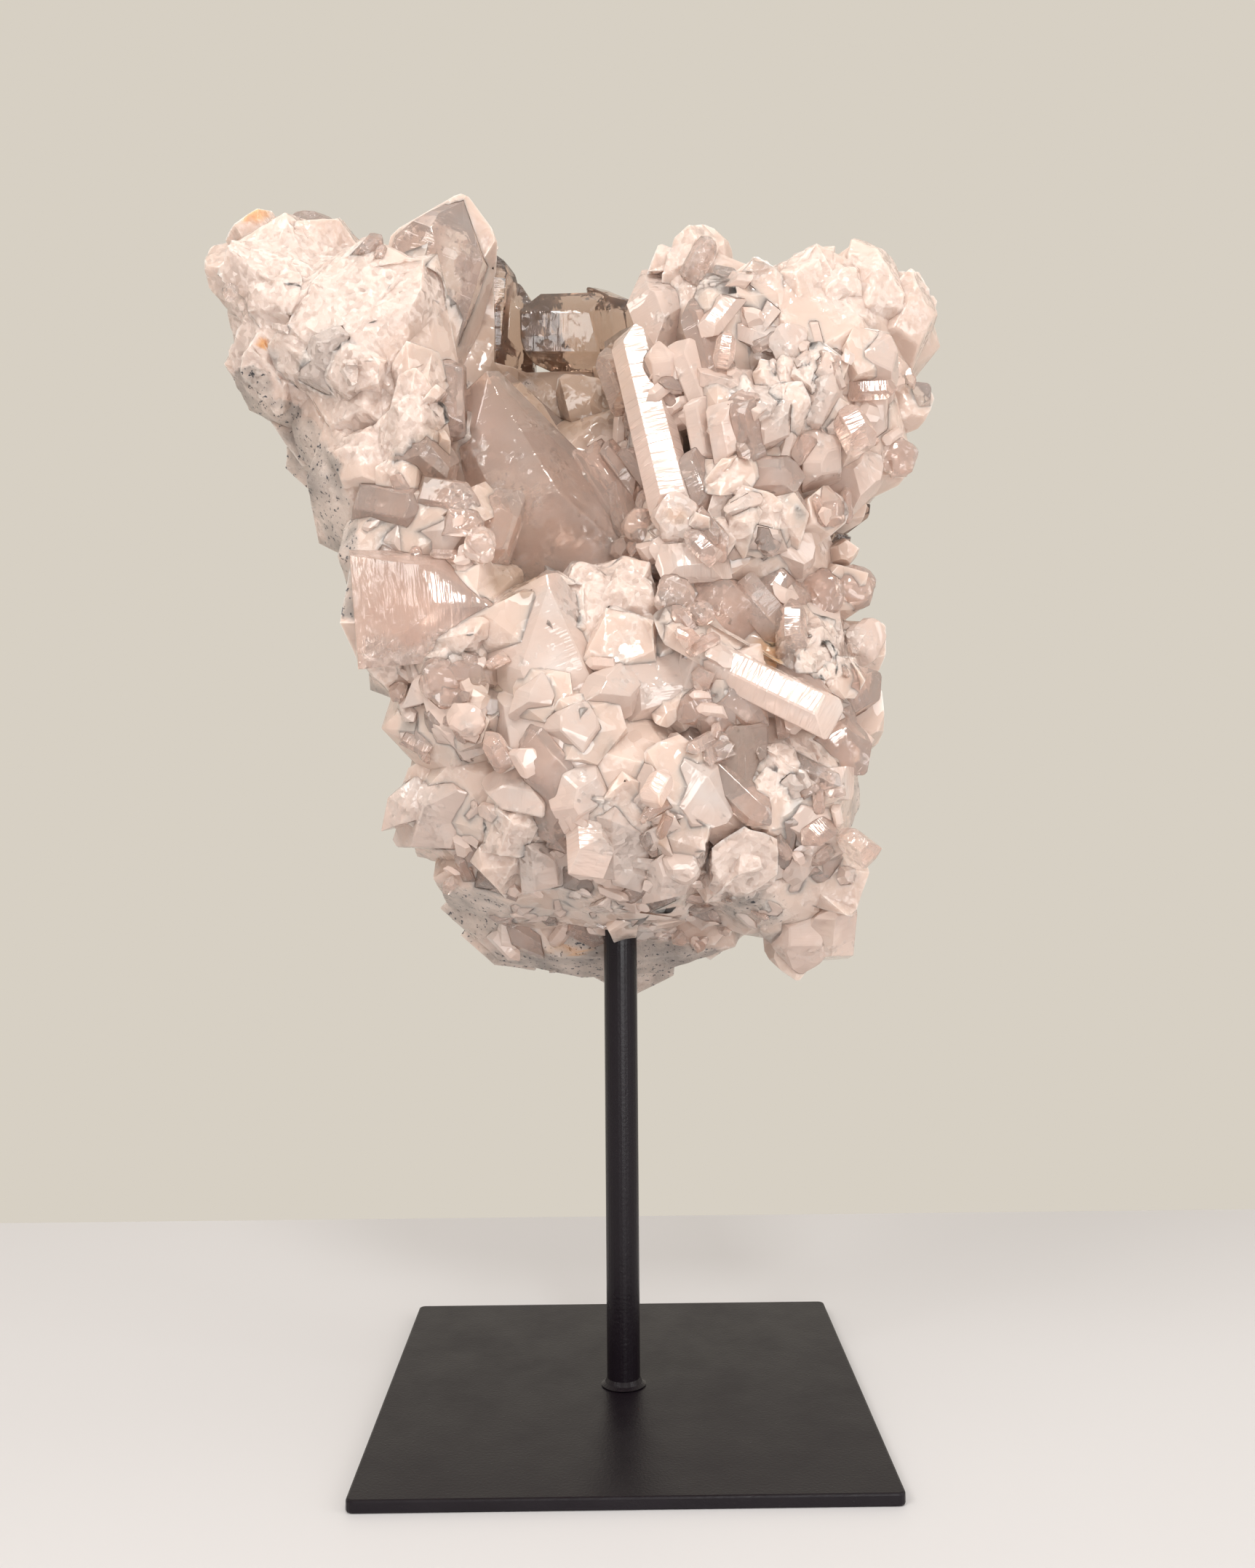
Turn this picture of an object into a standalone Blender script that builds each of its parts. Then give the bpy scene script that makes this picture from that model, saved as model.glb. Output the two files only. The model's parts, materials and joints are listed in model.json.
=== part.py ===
"""A cluster of quartz crystals on a square steel display stand.

Metres, +Z up. The origin is on the surface that the plate rests on, under the rod's axis,
and -Y is the front. Each piece is one closed body: base_plate, rod and quartz_cluster.
"""

import math
import random

import bmesh
import bpy
from mathutils import Matrix, Vector
from mathutils.bvhtree import BVHTree

MM = 0.001

# The stand
PLATE_SIDE = 0.115
PLATE_THICKNESS = 0.0028
PLATE_CORNER = 0.0016
PLATE_EDGE = 0.0005
ROD_DIAMETER = 0.0081
ROD_TOP = 0.134
ROD_EDGE = 0.0005
WELD_HEIGHT = 0.0016
WELD_SPREAD = 0.0014
WELD_HOLLOW = 0.35
SOCKET_SIDES = 40
SOCKET_CUT_FROM = 0.085
GAP = 0.0003

# The cluster. Its rocks and crystals are set out as a front view: x and z are where a point
# appears on the plane through the rod, seen from EYE, and y is its depth behind that plane.
EYE = Vector((-0.002, -0.350, 0.142))
SEED = 11
ROCK_POINTS = 22
ROCK_SWELL = (-0.16, 0.10)
ROCK_FRONT = -60 * MM
ROCK_BACK = 19 * MM
MATRIX_POINTS = 36
MATRIX_FRONT = 5 * MM
MATRIX_BACK = 26 * MM
BACK_RELIEF = 3.2 * MM

# A quartz crystal: the slope of the faces at its point, how much it narrows along its length,
# how its faces' heights differ in shares of its width, and how a broken end leans
POINT_SLOPE = math.radians(51.8)
FOOT_SWELL = 1.05
HEAD_SWELL = 0.97
MAJOR_LIFT = (-0.02, 0.08)
MINOR_LIFT = (0.06, 0.34)
BREAK_LEAN = (math.radians(8), math.radians(34))
BREAK_DEPTH = 0.12
CHISEL_LEAN = math.radians(20)
FACING = Vector((0, -1, 0.15))

# Small crystals on the front's larger faces
SMALL_CRYSTALS = 16
SMALL_FACE = 8 * MM * MM
SMALL_WIDTH = (4.5 * MM, 8.5 * MM)
SMALL_LENGTH = (1.2, 2.1)
SMALL_LEAN = 0.75
SMALL_SUNK = 0.55
FRONT_TURN = 0.15
FRONT_DEPTH = -10 * MM

# Low lumps over the back, in mm: the grid that they stand on and their radii
LUMP_COLUMNS = range(-75, 80, 26)
LUMP_ROWS = range(110, 280, 26)
LUMP_SHIFT = 7
LUMP_WIDE = (9, 18)
LUMP_HIGH = (3.5, 6)
LUMP_SUNK = 0.3
BACK_TURN = 0.7
BEHIND = 100

FLAT_ENOUGH = math.radians(0.05)

# The masses that the crystals grow from, in millimetres: x, z, depth y, radii along x, y, z
ROCKS = (
    # left lobe
    (-80, 271, 2, 19, 22, 21),
    (-60, 258, -4, 23, 26, 25),
    (-78, 254, 5, 18, 22, 20),
    (-68, 239, 8, 12, 20, 17),
    (-61, 226, 6, 15, 26, 25),
    (-48, 207, 0, 20, 30, 22),
    (-35, 252, 18, 11, 12, 22),
    # left flank and foot
    (-41, 188, 0, 24, 36, 23),
    (-34, 166, 0, 23, 38, 22),
    (-29, 147, 2, 24, 37, 23),
    (-22, 130, 8, 25, 30, 17),
    # middle
    (-2, 178, 4, 32, 40, 29),
    (0, 150, 0, 32, 42, 26),
    (2, 129, 1, 30, 32, 19),
    # right flank and foot
    (34, 177, 4, 28, 38, 28),
    (36, 150, 2, 25, 38, 27),
    (36, 128, 4, 21, 30, 18),
    # right lobe
    (22, 262, 4, 16, 24, 22),
    (46, 257, 2, 26, 30, 25),
    (65, 261, 6, 15, 20, 17),
    (56, 235, 4, 18, 26, 22),
    (34, 229, 2, 20, 31, 26),
    (15, 238, 12, 12, 18, 18),
    (27, 204, 4, 29, 36, 23),
    # behind the big crystal
    (-6, 214, 16, 34, 16, 32),
)

# The matrix that the cluster grew on, a rough sheet over its whole back, given as the rocks are
MATRIX = (
    (2, 168, 8, 54, 28, 64),
    (-49, 214, 8, 18, 25, 30),
    (-68, 254, 8, 22, 24, 28),
    (30, 206, 8, 28, 28, 34),
    (43, 247, 8, 29, 25, 34),
    (-8, 242, 25, 30, 9, 25),
    (-4, 119, 15, 37, 14, 18),
)

POINT = "point"
BROKEN = "broken"
CHISEL = "chisel"

# Crystals that stand out, in millimetres: base x, z, y, tip x, z, y, width across the flats,
# thickness over width, turn about its length in degrees (0 has a face to the front), end
CRYSTALS = (
    # the big flat-faced crystal in the hollow, and what stands round it
    (-6, 194, 4, -38, 249, -6, 27, 0.66, 8, CHISEL),
    (-38, 204, 4, -50, 240, 0, 16, 0.9, 20, POINT),
    (-11, 233, 20, -32, 251, 4, 5, 1.0, 10, POINT),
    (2, 234, 22, -14, 251, 10, 13, 0.9, 24, POINT),
    (6, 246, 22, -6, 256, 14, 9, 1.0, 0, POINT),
    # smoky crystals on the rim behind the hollow
    (14, 266, 24, -22, 263, 19, 16, 0.9, 6, BROKEN),
    (-24, 250, 26, -36, 258, 12, 13, 0.9, 16, POINT),
    (-27, 252, 26, -24, 275, 21, 13, 0.9, 20, POINT),
    (-33, 254, 20, -30, 282, 14, 13, 1.0, 0, POINT),
    (6, 254, 24, -1, 273, 22, 10, 1.0, 14, BROKEN),
    # left lobe
    (-52, 250, 8, -38, 297, -4, 24, 0.8, 30, POINT),
    (-58, 262, 8, -79, 292, -6, 18, 0.7, 22, BROKEN),
    (-76, 266, -6, -43, 271, -24, 21, 0.8, 4, BROKEN),
    (-78, 262, -6, -90, 282, -24, 15, 1.0, 18, POINT),
    (-78, 258, 0, -100, 284, -2, 13, 1.0, 6, POINT),
    (-80, 272, 0, -92, 291, -6, 12, 1.0, 0, BROKEN),
    (-70, 250, -6, -84, 262, -26, 13, 0.9, 12, POINT),
    (-62, 246, -10, -66, 258, -32, 14, 0.8, 25, POINT),
    (-52, 244, -8, -46, 257, -30, 15, 0.8, 10, POINT),
    (-56, 232, -8, -47, 241, -30, 15, 0.9, 18, BROKEN),
    (-58, 226, -4, -66, 236, -24, 13, 0.9, 5, POINT),
    (-52, 224, -6, -54, 227, -28, 13, 0.9, 20, POINT),
    # crystals that lie across the left flank
    (-60, 217, -6, -43, 219, -30, 9, 0.9, 14, POINT),
    (-48, 213, -8, -31, 221, -30, 9, 0.9, 0, BROKEN),
    (-40, 204, -10, -24, 222, -24, 8, 0.8, 10, POINT),
    (-38, 202, -12, -33, 209, -34, 6, 1.0, 20, POINT),
    (-62, 194, -14, -29, 193, -30, 23, 0.8, 2, BROKEN),
    (-48, 178, -6, -59, 185, -26, 10, 1.0, 12, POINT),
    (-38, 170, -10, -46, 181, -38, 14, 0.9, 20, POINT),
    (-36, 160, -14, -38, 166, -44, 10, 1.0, 15, POINT),
    (-30, 158, -16, -28, 156, -46, 6, 1.0, 0, POINT),
    # middle
    (-6, 164, -4, -26, 201, -34, 27, 0.8, 4, CHISEL),
    (-14, 156, -8, -20, 177, -44, 15, 0.9, 20, POINT),
    (-6, 154, -6, -9, 168, -48, 20, 0.8, 26, POINT),
    (6, 156, -8, -2, 194, -38, 20, 0.8, 14, POINT),
    (-6, 190, -6, -9, 203, -28, 13, 0.9, 12, POINT),
    (4, 190, -6, 2, 205, -30, 12, 0.9, 24, POINT),
    (-34, 138, -4, -51, 150, -22, 15, 0.8, 8, BROKEN),
    (-18, 128, -6, -28, 148, -38, 18, 0.8, 16, POINT),
    (-12, 140, -8, -10, 146, -46, 16, 0.8, 6, POINT),
    (0, 126, -6, 2, 151, -42, 17, 0.8, 20, POINT),
    (14, 126, -4, 15, 142, -42, 15, 0.9, 10, POINT),
    # right flank: a fan of blades, the long prism across it, and what is under it
    (42, 191, -4, 13, 202, -28, 13, 0.6, 14, POINT),
    (44, 187, -4, 14, 189, -32, 14, 0.6, 8, POINT),
    (44, 182, -6, 25, 178, -34, 12, 0.6, 20, POINT),
    (54, 166, -24, 9, 192, -43, 10, 0.9, 6, POINT),
    (32, 156, -12, 26, 175, -42, 9, 0.8, 18, POINT),
    (26, 148, -8, 15, 178, -32, 17, 0.8, 6, BROKEN),
    (40, 132, -10, 7, 158, -42, 17, 0.8, 22, POINT),
    (36, 156, -14, 56, 147, -38, 11, 0.8, 12, POINT),
    (28, 124, -4, 31, 131, -40, 16, 0.9, 22, BROKEN),
    (42, 130, -6, 53, 140, -32, 13, 0.9, 14, POINT),
    (44, 142, -2, 57, 117, -20, 16, 0.8, 8, POINT),
    (42, 124, 0, 43.5, 101, -6, 13, 0.8, 10, POINT),
    (48, 158, -2, 65, 173, -14, 17, 0.8, 16, POINT),
    (50, 176, 0, 66, 189, -8, 14, 0.8, 6, POINT),
    (48, 174, -6, 48, 182, -34, 12, 1.0, 0, POINT),
    (52, 172, -6, 57, 177, -30, 10, 1.0, 20, POINT),
    (46, 192, 0, 62, 202, -14, 12, 1.0, 12, POINT),
    (38, 182, -8, 44, 192, -32, 8, 1.0, 0, POINT),
    (46, 210, 2, 62, 219, -6, 6, 1.0, 8, POINT),
    (46, 204, 2, 60, 208, -12, 6, 1.0, 18, POINT),
    # right lobe
    (18, 208, -6, 1, 263, -28, 9, 0.9, 8, CHISEL),
    (24, 244, -4, 11, 284, -10, 12, 0.9, 18, POINT),
    (28, 248, 0, 22, 289, -6, 11, 0.9, 4, POINT),
    (30, 238, -8, 23, 277, -32, 13, 0.8, 20, POINT),
    (36, 240, -8, 35, 281, -26, 13, 0.8, 10, POINT),
    (46, 246, -6, 48, 284, -16, 14, 0.8, 22, BROKEN),
    (54, 254, -2, 61, 284, -10, 14, 0.9, 6, POINT),
    (60, 256, 2, 76, 277, -4, 14, 0.9, 16, POINT),
    (60, 256, 4, 80, 270, 0, 14, 0.9, 8, POINT),
    (56, 248, -4, 66, 261, -28, 13, 0.9, 20, POINT),
    (48, 240, -8, 52, 258, -34, 13, 0.9, 12, POINT),
    (36, 226, -10, 25, 251, -38, 15, 0.8, 8, POINT),
    (42, 230, -10, 42, 249, -38, 13, 0.8, 22, POINT),
    (50, 226, -8, 20, 226, -36, 9, 0.8, 4, POINT),
    (50, 234, -8, 58, 242, -30, 10, 1.0, 14, POINT),
    (58, 238, 2, 79, 246, -2, 11, 0.9, 8, POINT),
    (54, 224, 0, 74, 233, -8, 12, 0.8, 18, POINT),
    (44, 212, -8, 56, 220, -28, 11, 0.9, 6, POINT),
    (34, 208, -10, 40, 218, -36, 13, 0.8, 24, POINT),
    (12, 204, -6, 8, 219, -32, 13, 0.9, 12, POINT),
    (20, 202, -8, 24, 213, -38, 12, 0.9, 20, POINT),
)

# Thin blades side by side between the big crystal and the right lobe
BLADES = 4
BLADE_BASE = (10, 209, 4)
BLADE_TIP = (-10, 230, -10)
BLADE_STEP = (5.0, 2.2, 1.5)
BLADE_WIDTH = 5.5

STEEL_BLACK = (0.022, 0.019, 0.022, 1.0)
QUARTZ_PALE = (0.78, 0.66, 0.60, 1.0)


def clear_scene():
    for obj in list(bpy.data.objects):
        bpy.data.objects.remove(obj, do_unlink=True)


def new_collection(name):
    collection = bpy.data.collections.new(name)
    bpy.context.scene.collection.children.link(collection)
    return collection


def material(name, colour, roughness, metallic=0.0, transmission=0.0, ior=1.5):
    made = bpy.data.materials.new(name)
    made.use_nodes = True
    shader = made.node_tree.nodes["Principled BSDF"]
    shader.inputs["Base Color"].default_value = colour
    shader.inputs["Roughness"].default_value = roughness
    shader.inputs["Metallic"].default_value = metallic
    shader.inputs["Transmission Weight"].default_value = transmission
    shader.inputs["IOR"].default_value = ior
    return made


def object_from(bm, name, collection, finish=None):
    mesh = bpy.data.meshes.new(name)
    bm.to_mesh(mesh)
    bm.free()
    obj = bpy.data.objects.new(name, mesh)
    collection.objects.link(obj)
    if finish:
        mesh.materials.append(finish)
    return obj


def as_helper(obj):
    obj.hide_render = True
    obj.display_type = "WIRE"


def seen(x, z, y):
    """The point at depth y that the eye sees at (x, z) on the plane through the rod, all in mm."""
    on_plane = Vector((x * MM, 0, z * MM))
    return EYE + (on_plane - EYE) * seen_scale(y)


def seen_scale(y):
    return 1 + y * MM / -EYE.y


def base_plate(collection):
    bm = bmesh.new()
    bmesh.ops.create_cube(bm, size=1)
    bmesh.ops.scale(bm, vec=(PLATE_SIDE, PLATE_SIDE, PLATE_THICKNESS), verts=bm.verts)
    bmesh.ops.translate(bm, vec=(0, 0, PLATE_THICKNESS / 2), verts=bm.verts)
    plate = object_from(bm, "base_plate", collection, material("black_coat", STEEL_BLACK, 0.42))
    upright = [edge for edge in plate.data.edges if is_upright(plate.data, edge)]
    weights = plate.data.attributes.new("bevel_weight_edge", "FLOAT", "EDGE")
    for edge in upright:
        weights.data[edge.index].value = 1.0
    corners = plate.modifiers.new("corners", "BEVEL")
    corners.limit_method = "WEIGHT"
    corners.width = PLATE_CORNER
    corners.segments = 4
    edges = plate.modifiers.new("edges", "BEVEL")
    edges.limit_method = "ANGLE"
    edges.angle_limit = math.radians(60)
    edges.width = PLATE_EDGE
    edges.segments = 2
    return plate


def is_upright(mesh, edge):
    a, b = (mesh.vertices[index].co for index in edge.vertices)
    return abs(a.z - b.z) > PLATE_THICKNESS / 2


def rod(collection):
    """The rod with the bead of weld round its foot, as one turned profile."""
    radius = ROD_DIAMETER / 2
    foot = PLATE_THICKNESS + GAP
    profile = [(0, ROD_TOP), (radius - ROD_EDGE, ROD_TOP), (radius, ROD_TOP - ROD_EDGE)]
    profile.append((radius, foot + WELD_HEIGHT))
    profile.append((radius + WELD_HOLLOW * WELD_SPREAD, foot + WELD_HOLLOW * WELD_HEIGHT))
    profile.append((radius + WELD_SPREAD, foot))
    profile.append((0, foot))
    bm = bmesh.new()
    points = [bm.verts.new((x, 0, z)) for x, z in profile]
    for a, b in zip(points, points[1:]):
        bm.edges.new((a, b))
    turned = object_from(bm, "rod", collection, material("rod_black_coat", STEEL_BLACK, 0.38))
    screw = turned.modifiers.new("turn", "SCREW")
    screw.steps = 32
    screw.render_steps = 32
    screw.use_merge_vertices = True
    screw.merge_threshold = 0.00001
    return turned


def rock(spec, count, front, back, rng):
    """A broken convex lump: the hull of seeded points near an ellipsoid, cut off front and back."""
    x, z, y, rx, ry, rz = spec
    scale = seen_scale(y)
    centre = seen(x, z, y)
    radii = Vector((rx * scale, ry, rz * scale)) * MM
    bm = bmesh.new()
    for step in range(count):
        height = 1 - 2 * (step + 0.5) / count
        angle = step * math.pi * (3 - math.sqrt(5))
        ring = math.sqrt(1 - height * height)
        swell = 1 + rng.uniform(*ROCK_SWELL)
        point = Vector((ring * math.cos(angle), ring * math.sin(angle), height)) * swell
        place = centre + Vector((point.x * radii.x, point.y * radii.y, point.z * radii.z))
        place.y = min(place.y, back + rng.uniform(-1, 1) * BACK_RELIEF)
        place.y = max(place.y, front)
        bm.verts.new(place)
    keep_hull(bm)
    return bm


def keep_hull(bm):
    """Leaves only the convex hull of the mesh's points."""
    found = bmesh.ops.convex_hull(bm, input=bm.verts)
    spare = [item for item in found["geom_interior"] if isinstance(item, bmesh.types.BMVert)]
    bmesh.ops.delete(bm, geom=spare, context="VERTS")
    bmesh.ops.recalc_face_normals(bm, faces=bm.faces)


def cut(bm, place, normal):
    """Cuts a convex mesh by a plane, drops what is on the normal's side and closes the hole."""
    geometry = bm.verts[:] + bm.edges[:] + bm.faces[:]
    bmesh.ops.bisect_plane(bm, geom=geometry, plane_co=place, plane_no=normal, clear_outer=True)
    rim = [edge for edge in bm.edges if edge.is_boundary]
    if rim:
        bmesh.ops.holes_fill(bm, edges=rim, sides=0)


def quartz_point(length, width, thickness, end, rng):
    """A six-sided prism along +Z from the origin, with the end that a quartz crystal has."""
    reach = width / 2 / math.cos(math.pi / 6)
    bm = bmesh.new()
    bmesh.ops.create_cone(
        bm,
        cap_ends=True,
        segments=6,
        radius1=reach * FOOT_SWELL,
        radius2=reach * HEAD_SWELL,
        depth=length,
    )
    bmesh.ops.translate(bm, vec=(0, 0, length / 2), verts=bm.verts)
    bmesh.ops.rotate(bm, matrix=Matrix.Rotation(math.pi / 6, 3, "Z"), verts=bm.verts)
    if end == BROKEN:
        for _ in range(2):
            lean = rng.uniform(*BREAK_LEAN)
            around = rng.uniform(0, 2 * math.pi)
            cut(bm, Vector((0, 0, length - BREAK_DEPTH * width)), slope_normal(lean, around))
    else:
        faces = (0, 3) if end == CHISEL else range(6)
        for face in faces:
            around = math.pi / 6 + face * math.pi / 3
            minor = face % 2 == 1 or end == CHISEL
            lift = width * rng.uniform(*(MINOR_LIFT if minor else MAJOR_LIFT))
            cut(bm, Vector((0, 0, length + lift)), slope_normal(POINT_SLOPE, around))
    if end == CHISEL:
        lean = slope_normal(CHISEL_LEAN, rng.uniform(0, 2 * math.pi))
        cut(bm, Vector((0, 0, length - BREAK_DEPTH * width)), lean)
    bmesh.ops.scale(bm, vec=(1, thickness, 1), verts=bm.verts)
    bmesh.ops.recalc_face_normals(bm, faces=bm.faces)
    return bm


def slope_normal(lean, around):
    return Vector(
        (math.sin(lean) * math.cos(around), math.sin(lean) * math.sin(around), math.cos(lean))
    )


def set_along(bm, base, tip, facing, turn):
    """Moves a crystal from +Z to base-tip, its flat side turned to facing and then by turn."""
    along = (tip - base).normalized()
    away = -(facing - along * facing.dot(along)).normalized()
    side = away.cross(along)
    frame = Matrix((side, away, along)).transposed() @ Matrix.Rotation(turn, 3, "Z")
    bmesh.ops.rotate(bm, matrix=frame, verts=bm.verts)
    bmesh.ops.translate(bm, vec=base, verts=bm.verts)


def placed_crystal(spec, rng):
    bx, bz, by, tx, tz, ty, width, thickness, turn, end = spec
    base = seen(bx, bz, by)
    tip = seen(tx, tz, ty)
    scale = seen_scale((by + ty) / 2)
    bm = quartz_point((tip - base).length, width * scale * MM, thickness, end, rng)
    set_along(bm, base, tip, FACING, math.radians(turn))
    return bm


def blade_specs():
    for count in range(BLADES):
        shift = [step * count for step in BLADE_STEP]
        base = [start + move for start, move in zip(BLADE_BASE, shift)]
        tip = [start + move for start, move in zip(BLADE_TIP, shift)]
        yield (*base, *tip, BLADE_WIDTH, 0.6, 12, POINT)


def small_crystal(point, normal, rng):
    """A small crystal that grows out of the surface at point, leaning at random."""
    lean = Vector([rng.uniform(-1, 1) for _ in range(3)]) * SMALL_LEAN
    along = (normal + lean).normalized()
    width = rng.uniform(*SMALL_WIDTH)
    length = width * rng.uniform(*SMALL_LENGTH)
    root = point - along * SMALL_SUNK * length
    bm = quartz_point(length, width, rng.uniform(0.7, 1.0), POINT, rng)
    set_along(bm, root, root + along * length, FACING, rng.uniform(0, 1))
    return bm


def back_lumps(mesh, rng):
    """Low broken lumps and ledges over the back of the matrix, on a loose grid."""
    tree = bmesh_tree(mesh)
    lumps = []
    for x in LUMP_COLUMNS:
        for z in LUMP_ROWS:
            shift = Vector((rng.uniform(-1, 1), 0, rng.uniform(-1, 1))) * LUMP_SHIFT
            start = (Vector((x, BEHIND, z)) + shift) * MM
            sides = (LUMP_WIDE, LUMP_HIGH, LUMP_WIDE)
            reach = Vector([rng.uniform(*side) for side in sides]) * MM
            tilt = Matrix.Rotation(rng.uniform(-0.25, 0.25), 3, "X")
            tilt = tilt @ Matrix.Rotation(rng.uniform(0, 3), 3, "Y")
            point, normal, _, _ = tree.ray_cast(start, Vector((0, -1, 0)))
            if point and point.y > ROCK_BACK and normal.y > BACK_TURN:
                centre = point - Vector((0, LUMP_SUNK * reach.y, 0))
                lumps.append(lump(centre, reach, tilt, rng))
    return lumps


def lump(centre, reach, tilt, rng):
    bm = bmesh.new()
    bmesh.ops.create_icosphere(bm, subdivisions=1, radius=1)
    for vert in bm.verts:
        vert.co *= rng.uniform(0.75, 1.1)
    bmesh.ops.scale(bm, vec=reach, verts=bm.verts)
    bmesh.ops.rotate(bm, matrix=tilt, verts=bm.verts)
    bmesh.ops.translate(bm, vec=centre, verts=bm.verts)
    keep_hull(bm)
    return bm


def bmesh_tree(mesh):
    bm = bmesh.new()
    bm.from_mesh(mesh)
    tree = BVHTree.FromBMesh(bm)
    bm.free()
    return tree


def surface_spots(mesh, count, rng):
    """Seeded points on the larger faces at the front, with the faces' normals."""
    faces = [face for face in mesh.polygons if is_open_front(face)]
    picked = rng.choices(faces, weights=[face.area for face in faces], k=count)
    for face in picked:
        corners = [mesh.vertices[index].co for index in face.vertices]
        shares = [rng.uniform(0.2, 1) for _ in corners]
        total = sum(shares)
        point = sum((c * s for c, s in zip(corners, shares)), Vector()) / total
        yield point, face.normal.copy()


def is_open_front(face):
    forward = -face.normal.y > FRONT_TURN and face.center.y < FRONT_DEPTH
    return forward and face.area > SMALL_FACE


def joined(target, others, name, collection):
    """One solid from the target and the helpers, with everything sealed inside it dropped."""
    helpers = bpy.data.collections.new(name + "_helpers")
    collection.children.link(helpers)
    for count, bm in enumerate(others):
        as_helper(object_from(bm, f"{name}_{count:03d}", helpers))
    union = target.modifiers.new("join", "BOOLEAN")
    union.operation = "UNION"
    union.operand_type = "COLLECTION"
    union.collection = helpers
    union.solver = "EXACT"
    union.use_self = False
    graph = bpy.context.evaluated_depsgraph_get()
    mesh = bpy.data.meshes.new_from_object(target.evaluated_get(graph))
    for helper in list(helpers.objects):
        bpy.data.objects.remove(helper, do_unlink=True)
    bpy.data.collections.remove(helpers)
    target.modifiers.clear()
    target.data = mesh
    keep_outer_skin(mesh)


def keep_outer_skin(mesh):
    """Removes every loose shell but the one that spans the most."""
    bm = bmesh.new()
    bm.from_mesh(mesh)
    bmesh.ops.triangulate(bm, faces=bm.faces)
    unseen = set(bm.verts)
    shells = []
    while unseen:
        shell = set()
        edge_of_shell = [unseen.pop()]
        while edge_of_shell:
            vert = edge_of_shell.pop()
            shell.add(vert)
            for edge in vert.link_edges:
                other = edge.other_vert(vert)
                if other in unseen:
                    unseen.remove(other)
                    edge_of_shell.append(other)
        shells.append(shell)
    largest = max(shells, key=span)
    spare = [vert for vert in bm.verts if vert not in largest]
    bmesh.ops.delete(bm, geom=spare, context="VERTS")
    bmesh.ops.dissolve_limit(bm, angle_limit=FLAT_ENOUGH, verts=bm.verts, edges=bm.edges)
    bmesh.ops.triangulate(bm, faces=bm.faces)
    bm.to_mesh(mesh)
    bm.free()


def span(verts):
    heights = [vert.co.z for vert in verts]
    return max(heights) - min(heights)


def quartz_cluster(collection, cutters):
    rng = random.Random(SEED)
    rocks = [rock(spec, ROCK_POINTS, ROCK_FRONT, ROCK_BACK, rng) for spec in ROCKS]
    sheet = [rock(spec, MATRIX_POINTS, MATRIX_FRONT, MATRIX_BACK, rng) for spec in MATRIX]
    finish = material("quartz", QUARTZ_PALE, 0.22, transmission=0.35, ior=1.544)
    cluster = object_from(rocks[0], "quartz_cluster", collection, finish)
    joined(cluster, rocks[1:] + sheet, "rock", cutters)
    joined(cluster, back_lumps(cluster.data, rng), "lump", cutters)
    crystals = [placed_crystal(spec, rng) for spec in (*CRYSTALS, *blade_specs())]
    joined(cluster, crystals, "crystal", cutters)
    spots = surface_spots(cluster.data, SMALL_CRYSTALS, rng)
    joined(cluster, [small_crystal(*spot, rng) for spot in spots], "small", cutters)
    drill_socket(cluster, cutters)
    return cluster


def drill_socket(cluster, cutters):
    """The blind hole in the underside that the rod's end is glued into."""
    depth = ROD_TOP + GAP - SOCKET_CUT_FROM
    bm = bmesh.new()
    bmesh.ops.create_cone(
        bm,
        cap_ends=True,
        segments=SOCKET_SIDES,
        radius1=ROD_DIAMETER / 2 + GAP,
        radius2=ROD_DIAMETER / 2 + GAP,
        depth=depth,
    )
    bmesh.ops.translate(bm, vec=(0, 0, SOCKET_CUT_FROM + depth / 2), verts=bm.verts)
    drill = object_from(bm, "socket_drill", cutters)
    as_helper(drill)
    socket = cluster.modifiers.new("socket", "BOOLEAN")
    socket.operation = "DIFFERENCE"
    socket.object = drill
    socket.solver = "EXACT"


def main():
    clear_scene()
    parts = new_collection("quartz_crystal_on_stand")
    cutters = new_collection("cutters")
    cutters.hide_render = True
    base_plate(parts)
    rod(parts)
    quartz_cluster(parts, cutters)


main()
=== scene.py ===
"""The looks of a quartz cluster on a black steel stand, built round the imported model.

Metres, +Z up, -Y is the front. Places on the cluster's front are written as x and z in mm, where
they appear on the plane through the rod as seen from EYE, with y as the depth behind that plane.
"""

import json
import math
import random

import bmesh
import bpy
import numpy as np
from mathutils import Matrix, Vector, noise
from mathutils.bvhtree import BVHTree

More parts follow.
